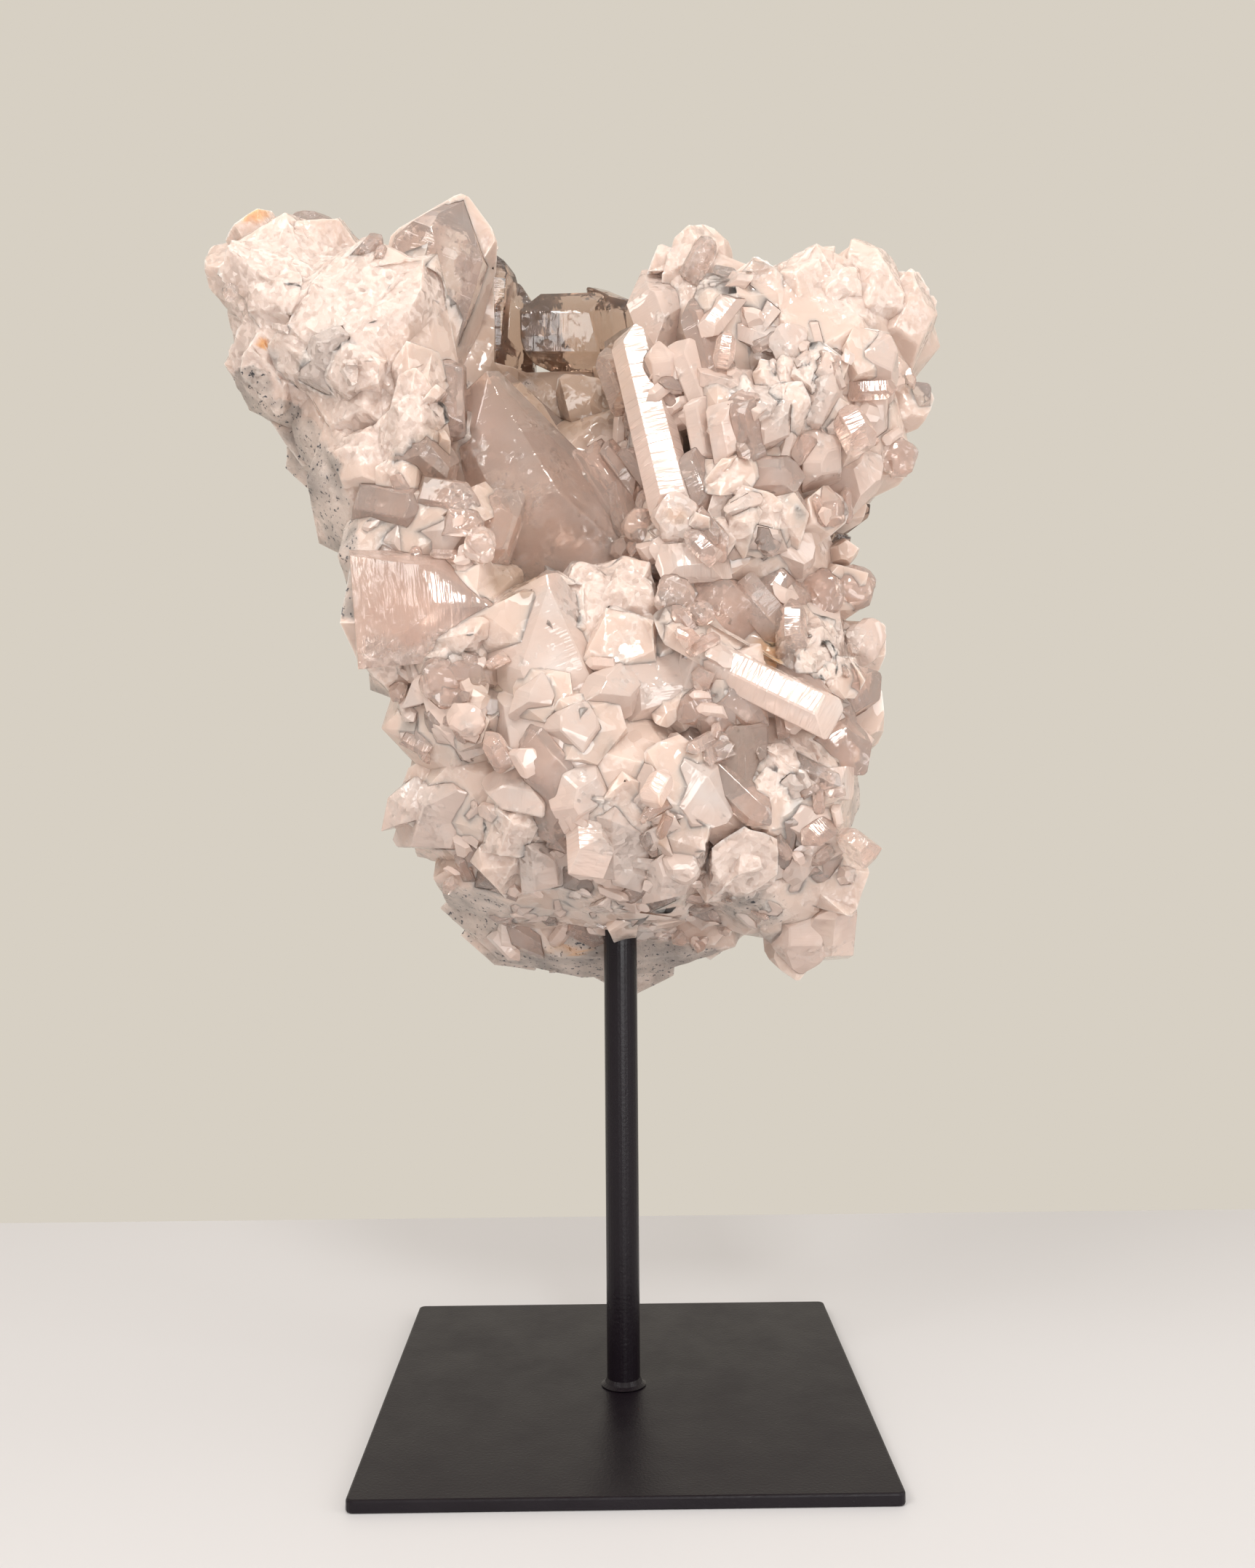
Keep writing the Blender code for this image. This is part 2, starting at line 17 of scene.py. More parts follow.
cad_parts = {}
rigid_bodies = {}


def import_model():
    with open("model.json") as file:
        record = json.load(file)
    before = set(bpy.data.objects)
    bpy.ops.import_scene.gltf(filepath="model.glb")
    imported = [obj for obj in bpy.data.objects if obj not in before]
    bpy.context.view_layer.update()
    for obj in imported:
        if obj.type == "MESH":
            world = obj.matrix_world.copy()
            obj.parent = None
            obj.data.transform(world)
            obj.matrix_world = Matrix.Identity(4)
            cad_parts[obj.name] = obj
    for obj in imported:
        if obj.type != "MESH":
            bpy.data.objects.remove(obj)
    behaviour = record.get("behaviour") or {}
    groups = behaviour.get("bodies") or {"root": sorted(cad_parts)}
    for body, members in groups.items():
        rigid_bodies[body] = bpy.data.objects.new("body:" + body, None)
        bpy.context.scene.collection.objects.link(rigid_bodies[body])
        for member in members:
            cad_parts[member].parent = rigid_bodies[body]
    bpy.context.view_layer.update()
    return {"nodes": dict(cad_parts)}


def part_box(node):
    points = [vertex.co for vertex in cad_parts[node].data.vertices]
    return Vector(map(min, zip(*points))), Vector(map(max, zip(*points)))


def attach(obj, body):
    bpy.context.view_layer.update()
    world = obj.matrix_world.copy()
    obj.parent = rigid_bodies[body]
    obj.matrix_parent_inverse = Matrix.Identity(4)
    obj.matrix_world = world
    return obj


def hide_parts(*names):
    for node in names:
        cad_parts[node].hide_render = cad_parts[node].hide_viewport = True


MM = 0.001
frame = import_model()

# The camera, fitted to the plate and the rod in the photograph
EYE = Vector((-0.00204, -0.35002, 0.14216))
SENSOR = 36.0
LENS = 32.52
PITCH = math.radians(-1.248)
YAW = math.radians(-0.672)
ROLL = math.radians(-0.446)

# Lights. The shiny crystals are set to mirror the lamp to the eye
WINDOW = Vector((-0.55, -0.55, 0.75))
LAMP = Vector((0.1, -0.62, 0.78))
AIM = Vector((0, 0, 0.2))

# The front surface: the grid of sight lines in mm, and how wide a valley between crystals is filled
COLUMNS = range(-104, 86, 2)
ROWS = range(90, 300, 2)
STEP = 2
CLOSE = 9
SET_BACK = 2.0
# How much deeper a crystal's foot lies than its tip, as a share of its length, how much longer it
# is at the foot, how much wider, and how much of its stated rise it keeps, frosted and otherwise
FOOT_SUNK = 0.3
FOOT_LONGER = 3 * MM
WIDER = 1.12
FROSTED_RISE = 0.3
RISE = 0.55
# The longest edges of the finished mesh, where it is frosted and elsewhere
FINE_EDGE = 2.4 * MM
PLAIN_EDGE = 4.5 * MM
# Crystals thinner than this share of their width have broad flat faces
TABULAR = 0.65
# How far behind the first surface that the eye sees a place is counted as hidden
HIDDEN_BY = 6 * MM
# How far behind the front the grey rock begins, in mm
BEHIND = 13
# The gap between a clear crystal and the mass
ROOM = 0.12 * MM
# Small lumps: the step of their grid, their least and greatest half width, how deep their faces
# lie, the share of the grid's places that have one, and the least and greatest frost there
FILLINGS = (
    (5.8, (4.0, 9.5), (0.6, 2.0), 1.0, -1, 0.6),
    (4.8, (2.2, 4.6), (-0.2, 1.0), 1.0, -1, 0.6),
    (5.0, (1.2, 2.8), (-0.6, 0.6), 0.6, 0.6, 9),
)

POINT = "point"
BROKEN = "broken"
CHISEL = "chisel"
POINT_SLOPE = math.radians(51.8)

MILKY = 0.5
CLEAR = 0.85
FROSTED = 0.15
DULL = 0.0
SHINY = 1.0
# Crystals with more than this clearness go into the clear piece, the others into the milky one
SEEN_THROUGH = 0.62

# Crystals of the front: foot x, z, tip x, z, width across the flats, thickness over width, how far
# the face stands over the filled surface, turn in degrees, end, clearness, striation. The
# striated ones are set to mirror the lamp
CRYSTALS = (
    # left lobe
    (-76, 271, -45, 270.5, 15, 0.7, 2.6, 4, BROKEN, FROSTED, DULL),
    (-66, 262, -93, 283, 15, 0.8, 1.0, 10, BROKEN, FROSTED, DULL),
    (-80, 249, -91, 262, 13, 0.8, 1.2, 22, BROKEN, FROSTED, DULL),
    (-73, 251, -69, 264.5, 8, 0.8, 2.6, 4, CHISEL, MILKY, DULL),
    (-72, 240, -51, 251, 17, 0.8, 2.0, 8, BROKEN, FROSTED, DULL),
    (-51, 236, -48, 253, 9, 0.8, 2.0, 16, BROKEN, FROSTED, DULL),
    (-69, 228, -55, 231, 11, 0.8, 1.6, 10, BROKEN, FROSTED, DULL),
    (-62, 282, -58, 287, 4, 1.0, 1.0, 0, POINT, CLEAR, DULL),
    (-48.6, 223.5, -45, 238.5, 12, 0.8, 0.0, 14, CHISEL, CLEAR, DULL),
    (-42, 239, -42, 257, 8, 1.0, 0.0, 20, BROKEN, CLEAR, DULL),
    # the big crystal in the hollow, and the blades beside it
    (-10, 198, -36.5, 247, 27, 0.6, 1.6, -14, CHISEL, CLEAR, DULL),
    (-1.5, 218, -11, 233, 5, 0.8, 2.4, 25, CHISEL, CLEAR, DULL),
    (1.5, 221, -7, 233.5, 5, 0.8, 2.0, 20, CHISEL, CLEAR, DULL),
    (4.5, 224, -3, 234, 5, 0.8, 1.6, 25, CHISEL, CLEAR, DULL),
    (7, 227, 2, 233.5, 5, 0.8, 1.2, 15, CHISEL, CLEAR, DULL),
    (-2, 213, -15, 226.5, 3.4, 0.8, 2.2, 40, BROKEN, FROSTED, DULL),
    # across the left flank
    (-62, 220.5, -46.5, 217.5, 9, 0.9, 2.6, 14, BROKEN, CLEAR, DULL),
    (-48, 221.5, -34, 219, 8.5, 0.9, 2.4, 0, POINT, CLEAR, DULL),
    (-32, 206, -26, 222.5, 8, 0.8, 2.2, 10, CHISEL, CLEAR, DULL),
    (-62, 210, -37, 211.5, 8, 0.8, 1.0, 30, BROKEN, MILKY, DULL),
    (-62, 195.5, -31, 196.5, 21, 0.5, 5.0, 0, CHISEL, 0.65, SHINY),
    (-46, 184.5, -31, 186.5, 8, 0.9, 2.6, 20, BROKEN, FROSTED, DULL),
    (-58, 177, -52, 184, 9, 0.8, 1.0, 12, BROKEN, FROSTED, DULL),
    (-46, 170, -42, 181, 10, 0.8, 1.6, 16, POINT, MILKY, DULL),
    (-28.7, 155.9, -32.8, 163, 4.2, 0.9, 4.0, 0, POINT, CLEAR, DULL),
    # middle
    (-14, 171, -25, 198, 24, 0.6, 1.6, 4, CHISEL, MILKY, DULL),
    (-21, 196, -15.5, 202.5, 3.5, 0.9, 3.0, 0, POINT, CLEAR, DULL),
    (-5.5, 187, -9.5, 205, 11, 0.8, 2.4, 10, POINT, FROSTED, DULL),
    (5, 190, 1, 204.7, 11, 0.8, 2.4, 18, POINT, FROSTED, DULL),
    (10, 164, 8.5, 191, 20, 0.7, 2.0, 8, POINT, MILKY, DULL),
    (-4, 168, 2, 180, 10, 0.8, 2.6, 22, POINT, MILKY, DULL),
    (-21, 168, -18.5, 177.5, 8, 0.8, 2.0, 12, POINT, MILKY, DULL),
    (-30, 163.5, -1.5, 160.5, 15, 0.75, 2.2, 8, POINT, MILKY, DULL),
    (-14, 157, -8, 170.5, 10, 0.8, 3.6, 0, POINT, MILKY, DULL),
    (-46, 136, -41, 153, 14, 0.8, 1.6, 14, CHISEL, MILKY, DULL),
    (-52, 141, -50, 152, 9, 0.9, 1.0, 20, POINT, MILKY, DULL),
    (-20, 148, -34, 150.5, 10, 0.8, 2.0, 20, POINT, MILKY, DULL),
    (-27, 134, -23, 146, 9, 0.8, 2.0, 4, BROKEN, FROSTED, DULL),
    (-32, 127, -27, 136, 9, 0.8, 1.6, 20, BROKEN, FROSTED, DULL),
    (-19, 126, -20, 137, 8, 0.8, 2.0, 8, BROKEN, MILKY, DULL),
    (-7, 143, -14, 155, 12, 0.8, 1.6, 14, CHISEL, MILKY, DULL),
    (1, 126, 0, 149, 13, 0.8, 2.8, 8, BROKEN, MILKY, DULL),
    (-7, 131, -8, 143.5, 8, 0.8, 2.6, 0, CHISEL, MILKY, SHINY),
    # over the middle, and the fan
    (34, 186, 21, 201, 12, 0.6, 2.2, 16, CHISEL, CLEAR, DULL),
    (40, 188, 30, 200, 8, 0.7, 1.8, 8, CHISEL, CLEAR, DULL),
    (25, 205.5, 8, 204, 8.5, 0.8, 1.8, 0, BROKEN, MILKY, SHINY),
    (22, 207.5, 17, 212.5, 4, 0.9, 4.0, 0, POINT, CLEAR, SHINY),
    (31.5, 204.5, 17, 227, 5, 0.9, 2.6, 0, BROKEN, CLEAR, DULL),
    (31, 205, 24, 223, 11, 0.6, 1.2, 10, POINT, MILKY, DULL),
    # the long prism and what lies under it
    (51, 166.5, 17.5, 183, 8, 0.9, 5.5, 0, CHISEL, MILKY, SHINY),
    (25.5, 173.5, 37, 163.8, 7, 0.8, 3.0, 10, POINT, CLEAR, DULL),
    (31, 149, 31, 166, 10, 0.8, 0.0, 14, BROKEN, CLEAR, DULL),
    (10, 153, 27.5, 141, 14, 0.7, 2.6, 6, POINT, MILKY, DULL),
    (15, 161, 37.5, 139.5, 6.5, 0.9, 3.6, 10, POINT, CLEAR, DULL),
    (9, 148, 12, 153.5, 4.5, 0.9, 4.6, 0, POINT, MILKY, SHINY),
    (20, 132, 38, 125, 15, 0.8, 3.0, 12, BROKEN, FROSTED, DULL),
    (12, 123, 14, 135, 9, 0.8, 1.6, 10, POINT, MILKY, DULL),
    # right flank
    (36, 153, 48, 155, 9, 0.8, 2.6, 14, BROKEN, FROSTED, DULL),
    (40, 148, 44, 160, 8, 0.8, 2.2, 6, BROKEN, FROSTED, DULL),
    (45.5, 153.5, 55, 149, 4.2, 0.9, 3.0, 0, POINT, CLEAR, DULL),
    (50, 163, 61, 152, 11, 0.8, 1.0, 12, POINT, CLEAR, DULL),
    (38, 145, 53, 137, 9, 0.8, 1.6, 10, POINT, MILKY, DULL),
    (50, 138.5, 45, 134.5, 5, 0.9, 3.0, 0, POINT, CLEAR, SHINY),
    (60, 133, 54, 138, 5, 0.9, 2.0, 0, POINT, CLEAR, SHINY),
    (45, 121, 44.3, 102.5, 12, 0.8, 0.6, 14, POINT, MILKY, DULL),
    (51, 106, 53, 123, 11, 0.8, 0.6, 10, BROKEN, MILKY, DULL),
    (43, 180.5, 55, 186, 11, 0.8, 2.0, 12, BROKEN, FROSTED, DULL),
    (53, 170, 65, 176.5, 10, 0.8, 1.0, 16, POINT, CLEAR, DULL),
    (43, 184, 43, 195.5, 5.5, 0.9, 2.6, 0, POINT, CLEAR, SHINY),
    # right lobe
    (13.5, 220, 3.6, 262, 8.5, 0.8, 6.0, 0, CHISEL, MILKY, SHINY),
    (2, 246, -2.5, 258.5, 7, 0.9, 1.6, 12, POINT, CLEAR, SHINY),
    (23.5, 217.5, 17.8, 232, 6.5, 0.8, 2.6, 10, CHISEL, CLEAR, DULL),
    (22.5, 230, 19.5, 245.5, 6, 0.8, 2.2, 10, CHISEL, MILKY, DULL),
    (28, 230.5, 25.5, 244.5, 6.5, 0.8, 2.4, 16, CHISEL, MILKY, DULL),
    (34, 230, 31, 245, 6, 0.8, 2.0, 10, CHISEL, CLEAR, DULL),
    (25, 225, 47, 226, 9.5, 0.8, 3.2, 6, POINT, CLEAR, DULL),
    (18, 275, 22.3, 289, 10, 0.8, 1.4, 12, POINT, FROSTED, DULL),
    (20, 278.5, 24, 286, 4.6, 0.9, 3.4, 0, POINT, CLEAR, SHINY),
    (15, 259, 7.5, 278, 14, 0.8, 1.6, 16, POINT, MILKY, DULL),
    (28, 244, 19, 270.5, 8, 0.8, 2.4, 10, POINT, CLEAR, DULL),
    (23, 243, 16, 260.5, 7, 0.8, 2.0, 20, CHISEL, MILKY, DULL),
    (35, 256, 25, 279, 7.5, 0.8, 2.2, 8, POINT, CLEAR, DULL),
    (41, 261, 33, 281, 8, 0.8, 1.6, 14, BROKEN, FROSTED, DULL),
    (27, 257, 28, 262.5, 3.6, 0.9, 4.2, 0, POINT, CLEAR, SHINY),
    (46, 268, 44, 283, 12, 0.8, 1.4, 14, BROKEN, FROSTED, DULL),
    (56, 266, 53, 282, 12, 0.8, 1.4, 6, BROKEN, FROSTED, DULL),
    (63, 263, 67, 285, 14, 0.8, 1.6, 10, BROKEN, FROSTED, DULL),
    (69, 259, 78, 276, 12, 0.8, 1.4, 12, BROKEN, FROSTED, DULL),
    (62, 249, 66, 262.5, 12, 0.7, 1.8, 6, CHISEL, MILKY, DULL),
    (60, 236, 56, 243.5, 6.5, 0.9, 3.2, 0, POINT, CLEAR, SHINY),
    (61, 247.3, 70, 247.8, 4, 0.9, 2.6, 0, POINT, CLEAR, SHINY),
    (41, 238, 36, 255.5, 5, 0.8, 2.4, 12, POINT, FROSTED, DULL),
    (43.5, 238, 42, 257.5, 5, 0.8, 2.8, 4, POINT, FROSTED, DULL),
    (46, 238, 48.5, 256, 5, 0.8, 2.4, 20, POINT, FROSTED, DULL),
    (48, 239, 54, 252, 6, 0.8, 2.0, 12, POINT, MILKY, DULL),
    (38, 232.5, 38.5, 245, 9, 0.7, 1.6, 4, CHISEL, MILKY, DULL),
    (51, 225, 51, 237.5, 9, 0.7, 1.2, 8, CHISEL, MILKY, DULL),
    (57, 223, 66, 231, 9, 0.8, 1.4, 12, POINT, MILKY, DULL),
    (33, 212, 27, 221.5, 9, 0.8, 2.0, 15, BROKEN, FROSTED, DULL),
    (44, 213, 38, 222, 9, 0.8, 1.8, 8, BROKEN, FROSTED, DULL),
    (40, 203, 48, 212, 9, 0.8, 1.6, 14, POINT, MILKY, DULL),
)

# Rounded lumps of clear and frosted quartz on the front: x, z, radius, rise, clearness
KNOBS = (
    (-34, 209.2, 3.7, 4.0, CLEAR),
    (-37.5, 165.8, 4.3, 3.0, FROSTED),
    (13.9, 196.5, 4.4, 2.6, CLEAR),
    (20.4, 192, 3.5, 2.6, CLEAR),
    (15, 215.4, 5.8, 3.0, FROSTED),
    (5.6, 213.6, 4.0, 3.0, CLEAR),
    (50.2, 197, 5.6, 2.0, CLEAR),
    (58.4, 198.3, 5.0, 1.0, CLEAR),
    (61, 184.5, 5.0, 1.4, FROSTED),
    (70, 230.5, 4.6, 1.0, CLEAR),
    (43, 259.5, 4.4, 2.6, FROSTED),
    (15.5, 130, 4.6, 2.0, MILKY),
    (-44, 175.5, 4.6, 2.0, CLEAR),
)

# Clear and smoky crystals that are seen through, in pieces of their own: foot x, z, y,
# tip x, z, y, width, thickness over width, turn in degrees, end, knocks
CLEAR_CRYSTALS = (
    (-52, 252, 8, -38, 296.5, -4, 23, 0.8, 30, POINT, 3),
    (-58, 272, 6, -80, 292, 0, 13, 0.8, 22, POINT, 2),
    (-11, 234, 20, -30, 251.5, 5, 6.2, 0.9, 10, CHISEL, 0),
    (67, 238, 4, 78.6, 249, -4, 7.5, 0.9, 0, POINT, 1),
    (66, 254, 6, 76, 256.5, 0, 4.5, 0.9, 10, POINT, 1),
)
SMOKY_CRYSTALS = (
    (4, 262, 20, -24, 262, 17, 17.5, 0.9, -22, BROKEN, 0),
    (3, 246, 24, -2, 274, 20, 11, 1.0, 14, BROKEN, 1),
    (-24, 254, 26, -37, 262, 14, 12, 0.9, 16, POINT, 0),
    (-26, 250, 26, -25, 275, 19, 12, 0.9, 20, POINT, 1),
    (-33, 250, 22, -30, 283, 14, 12, 1.0, 4, POINT, 1),
    (51, 210, 4, 63, 218.8, -4, 4.0, 1.0, 8, POINT, 0),
    (47, 204.5, 4, 58, 210.5, -8, 6.0, 1.0, 18, POINT, 0),
)
# The faces of all of them as they're seen: foot x, z, tip x, z, width
FACES = [row[:5] for row in CRYSTALS]
FACES += [(row[0], row[1], row[3], row[4], row[6]) for row in CLEAR_CRYSTALS + SMOKY_CRYSTALS]
# The part of the rim that the smoky crystals take the place of: x, y and z from and to
RIM = ((-31, 9), (6, 60), (258, 300))

# Where the surface is frosted by fine breaks: x, z, radii along x and z, weight
FROST = (
    (-78, 268, 26, 24, 1.0),
    (-58, 272, 18, 9, 1.0),
    (-58, 242, 15, 14, 0.9),
    (-40, 185, 9, 5, 0.9),
    (-57, 181, 7, 6, 0.9),
    (-36.4, 233, 3.6, 6.5, 1.0),
    (66, 274, 18, 10, 0.75),
    (44, 279, 13, 7, 0.7),
    (43, 248, 10, 12, 0.8),
    (18, 279, 9, 10, 0.7),
    (29, 129, 11, 10, 1.1),
    (43, 154, 10, 8, 1.0),
    (50, 183, 14, 8, 0.9),
    (-8, 197, 7, 9, 0.9),
    (3, 198, 8, 8, 0.8),
    (15, 215, 7, 7, 0.8),
    (32, 216, 12, 8, 0.6),
    (-25, 136, 10, 10, 0.8),
    (1, 137, 9, 11, 0.7),
    (-50, 140, 9, 12, 0.5),
    (60, 128, 7, 20, 0.5),
)
# Recesses, where the quartz is clearer and its colour is darkened, partly for its own smoky tone and
# partly as painted shade: as above
RECESS_TONE_AND_SHADE = (
    (-13, 254, 21, 20, 1.0),
    (-25, 201, 7, 5, 0.9),
    (31, 157, 5, 8, 0.7),
    (-31.5, 174.5, 5.5, 4.5, 1.0),
    (38.5, 184, 3.6, 7, 1.0),
    (-45, 230, 6, 9, 0.7),
    (-20, 222, 14, 18, 0.55),
    (2, 214, 8, 6, 0.4),
)
# Grey rock that the quartz grew on, along the left flank and under the foot: as above
ROCK = (
    (-90, 249, 6, 5, 1.0),
    (-84, 241, 6, 5, 1.0),
    (-78, 234, 6, 7, 1.0),
    (-73, 225, 5, 8, 1.0),
    (-69, 214, 4.5, 9, 1.0),
    (-66, 201, 3.5, 10, 0.9),
    (-101, 262, 4, 12, 0.6),
    (-4, 104, 34, 8, 0.9),
    (34, 118, 10, 5, 0.6),
    (-40, 118, 14, 7, 0.7),
)
# Iron stains: as above
STAINS = (
    (-90.5, 293, 5, 3, 0.7),
    (-87.6, 259.5, 1.6, 1.6, 1.0),
    (14.5, 216.5, 4, 3, 0.5),
    (38.5, 183, 3, 5, 0.6),
    (10.5, 140, 1.2, 8, 0.5),
    (-14, 109, 7, 1.4, 0.6),
)


def seen(x, z, y):
    """The point at depth y that the eye sees at (x, z) on the plane through the rod, all in mm."""
    on_plane = Vector((x * MM, 0, z * MM))
    return EYE + (on_plane - EYE) * (1 + y * MM / -EYE.y)


def place_seen(point):
    """Where the eye sees a point on the plane through the rod: x and z in mm."""
    on_plane = EYE + (point - EYE) * (-EYE.y / (point.y - EYE.y))
    return on_plane.x / MM, on_plane.z / MM


# Bodies


def object_from(bm, name, finish=None):
    mesh = bpy.data.meshes.new(name)
    bm.to_mesh(mesh)
    bm.free()
    obj = bpy.data.objects.new(name, mesh)
    bpy.context.scene.collection.objects.link(obj)
    if finish:
        mesh.materials.append(finish)
    return obj


def layers(bm):
    """Where a point lies on its crystal, round it and along it in mm, and the crystal's nature."""
    colours = bm.loops.layers.float_color
    return [colours.get(name) or colours.new(name) for name in ("course", "nature")]


def mark(bm, nature):
    """Writes a body's own nature on it: a random value, clearness, striation, and 1 if a crystal."""
    layer = layers(bm)[1]
    for face in bm.faces:
        for loop in face.loops:
            loop[layer] = nature


def cut(bm, place, normal):
    geometry = bm.verts[:] + bm.edges[:] + bm.faces[:]
    bmesh.ops.bisect_plane(bm, geom=geometry, plane_co=place, plane_no=normal, clear_outer=True)
    rim = [edge for edge in bm.edges if edge.is_boundary]
    if rim:
        bmesh.ops.holes_fill(bm, edges=rim, sides=0)


def spread(count):
    """Even directions over a sphere."""
    for step in range(count):
        height = 1 - 2 * (step + 0.5) / count
        angle = step * math.pi * (3 - math.sqrt(5))
        ring = math.sqrt(1 - height * height)
        yield Vector((ring * math.cos(angle), ring * math.sin(angle), height))


def any_way(rng):
    return Vector([rng.gauss(0, 1) for _ in range(3)]).normalized()


def slope_normal(lean, around):
    flat = math.sin(lean)
    return Vector((flat * math.cos(around), flat * math.sin(around), math.cos(lean)))


def soften(bm, width):
    """Takes the edges off, so that they catch the light."""
    bmesh.ops.remove_doubles(bm, verts=bm.verts, dist=width * 0.2)
    bmesh.ops.dissolve_degenerate(bm, dist=width * 0.2, edges=bm.edges)
    bmesh.ops.bevel(
        bm, geom=bm.edges[:], offset=width, segments=1, affect="EDGES", clamp_overlap=True
    )


def quartz_point(length, width, thickness, end, rng, knocks=0):
    """A six-sided prism along +Z from the origin, with the end that a quartz crystal has."""
    broad = 1.5 if thickness < TABULAR else 1.0
    reach = width * broad / 2 / math.cos(math.pi / 6)
    bm = bmesh.new()
    bmesh.ops.create_cone(
        bm, cap_ends=True, segments=6, radius1=reach * 1.05, radius2=reach * 0.97, depth=length
    )
    bmesh.ops.translate(bm, vec=(0, 0, length / 2), verts=bm.verts)
    bmesh.ops.rotate(bm, matrix=Matrix.Rotation(math.pi / 6, 3, "Z"), verts=bm.verts)
    if broad > 1:
        for side in (-1, 1):
            cut(bm, Vector((side * width / 2, 0, 0)), Vector((side, -0.3, 0.05)).normalized())
    if end == BROKEN:
        for _ in range(4):
            lean = rng.uniform(0.3, 0.95)
            around = rng.uniform(0, 2 * math.pi)
            cut(bm, Vector((0, 0, length - 0.12 * width)), slope_normal(lean, around))
    else:
        for face in (0, 3) if end == CHISEL else range(6):
            minor = face % 2 == 1 or end == CHISEL
            lift = width * (rng.uniform(0.06, 0.34) if minor else rng.uniform(-0.02, 0.08))
            around = math.pi / 6 + face * math.pi / 3
            cut(bm, Vector((0, 0, length + lift)), slope_normal(POINT_SLOPE, around))
        if end == CHISEL:
            lean = slope_normal(rng.uniform(0.5, 0.85), rng.uniform(0, 2 * math.pi))
            cut(bm, Vector((0, 0, length - 0.06 * width)), lean)
    if length > 1.2 * width:
        heel = Vector((rng.uniform(-0.4, 0.4), -0.6, -0.8)).normalized()
        cut(bm, Vector((0, -width / 2, width * rng.uniform(0.3, 0.7))), heel)
    middle = Vector((0, 0, length * 0.75))
    for _ in range(knocks):
        out = any_way(rng)
        out.z = abs(out.z)
        far = max((v.co - middle).dot(out) for v in bm.verts)
        cut(bm, middle + out * far * rng.uniform(0.78, 0.94), out)
    soften(bm, min(0.35 * MM, width * 0.05))
    course = layers(bm)[0]
    for face in bm.faces:
        for loop in face.loops:
            co = loop.vert.co
            loop[course] = (math.atan2(co.y, co.x) * width / MM / 2, co.z / MM, 0, 1)
    bmesh.ops.scale(bm, vec=(1, thickness / broad, 1), verts=bm.verts)
    bmesh.ops.recalc_face_normals(bm, faces=bm.faces)
    return bm


def set_along(bm, foot, tip, facing, turn=0.0):
    """Sets a crystal from foot to tip, with a side face turned to the given direction."""
    along = (tip - foot).normalized()
    away = -(facing - along * facing.dot(along)).normalized()
    side = away.cross(along)
    turned = Matrix((side, away, along)).transposed() @ Matrix.Rotation(turn, 3, "Z")
    bmesh.ops.rotate(bm, matrix=turned, verts=bm.verts)
    bmesh.ops.translate(bm, vec=foot, verts=bm.verts)


def shard(centre, reach, turn, rng, cuts=11):
    """A broken lump: a block cut by seeded planes to near an ellipsoid."""
    bm = bmesh.new()
    bmesh.ops.create_cube(bm, size=2.1)
    roll = Matrix.Rotation(rng.uniform(0, 6.28), 3, any_way(rng))
    for direction in spread(cuts):
        out = roll @ (direction + any_way(rng) * 0.35).normalized()
        cut(bm, out * rng.uniform(0.55, 0.95), out)
    bmesh.ops.scale(bm, vec=reach, verts=bm.verts)
    if reach.x > 4 * MM:
        soften(bm, 0.3 * MM)
    layers(bm)
    bmesh.ops.rotate(bm, matrix=turn, verts=bm.verts)
    bmesh.ops.translate(bm, vec=centre, verts=bm.verts)
    bmesh.ops.recalc_face_normals(bm, faces=bm.faces)
    return bm


def knob(centre, radius, rng):
    """A rounded lump with low dents."""
    bm = bmesh.new()
    bmesh.ops.create_icosphere(bm, subdivisions=3, radius=radius)
    shift = any_way(rng) * 10
    for vert in bm.verts:
        dent = noise.noise(vert.co / radius * 1.3 + shift) * 0.3
        fine = noise.noise(vert.co / radius * 4 + shift) * 0.06
        vert.co *= 1 + dent + fine
    bmesh.ops.scale(bm, vec=(1, 0.6, rng.uniform(0.8, 1.15)), verts=bm.verts)
    bmesh.ops.translate(bm, vec=centre, verts=bm.verts)
    return bm


def roomy(bm):
    """A copy of a body that is a little larger all round."""
    larger = bm.copy()
    larger.normal_update()
    for vert in larger.verts:
        vert.co += vert.normal * ROOM
    return larger


def joined(target, bodies, operation="UNION"):
    """Joins closed bodies to a mesh, or cuts them from it."""
    helpers = bpy.data.collections.new("helpers")
    bpy.context.scene.collection.children.link(helpers)
    for bm in bodies:
        mesh = bpy.data.meshes.new("helper")
        bm.to_mesh(mesh)
        bm.free()
        helpers.objects.link(bpy.data.objects.new("helper", mesh))
    union = target.modifiers.new("join", "BOOLEAN")
    union.operation = operation
    union.operand_type = "COLLECTION"
    union.collection = helpers
    union.solver = "MANIFOLD"
    graph = bpy.context.evaluated_depsgraph_get()
    mesh = bpy.data.meshes.new_from_object(target.evaluated_get(graph))
    for helper in list(helpers.objects):
        bpy.data.objects.remove(helper, do_unlink=True)
    bpy.data.collections.remove(helpers)
    target.modifiers.clear()
    target.data = mesh


# The cluster's front


def over_disc(values, pick, radius):
    """The least or greatest of the values within a radius, in cells."""
    best = values.copy()
    for i in range(-radius, radius + 1):
        for j in range(-radius, radius + 1):
            if i * i + j * j > radius * radius:
                continue
            moved = np.roll(np.roll(values, i, axis=0), j, axis=1)
            best = pick(best, moved)
    return best


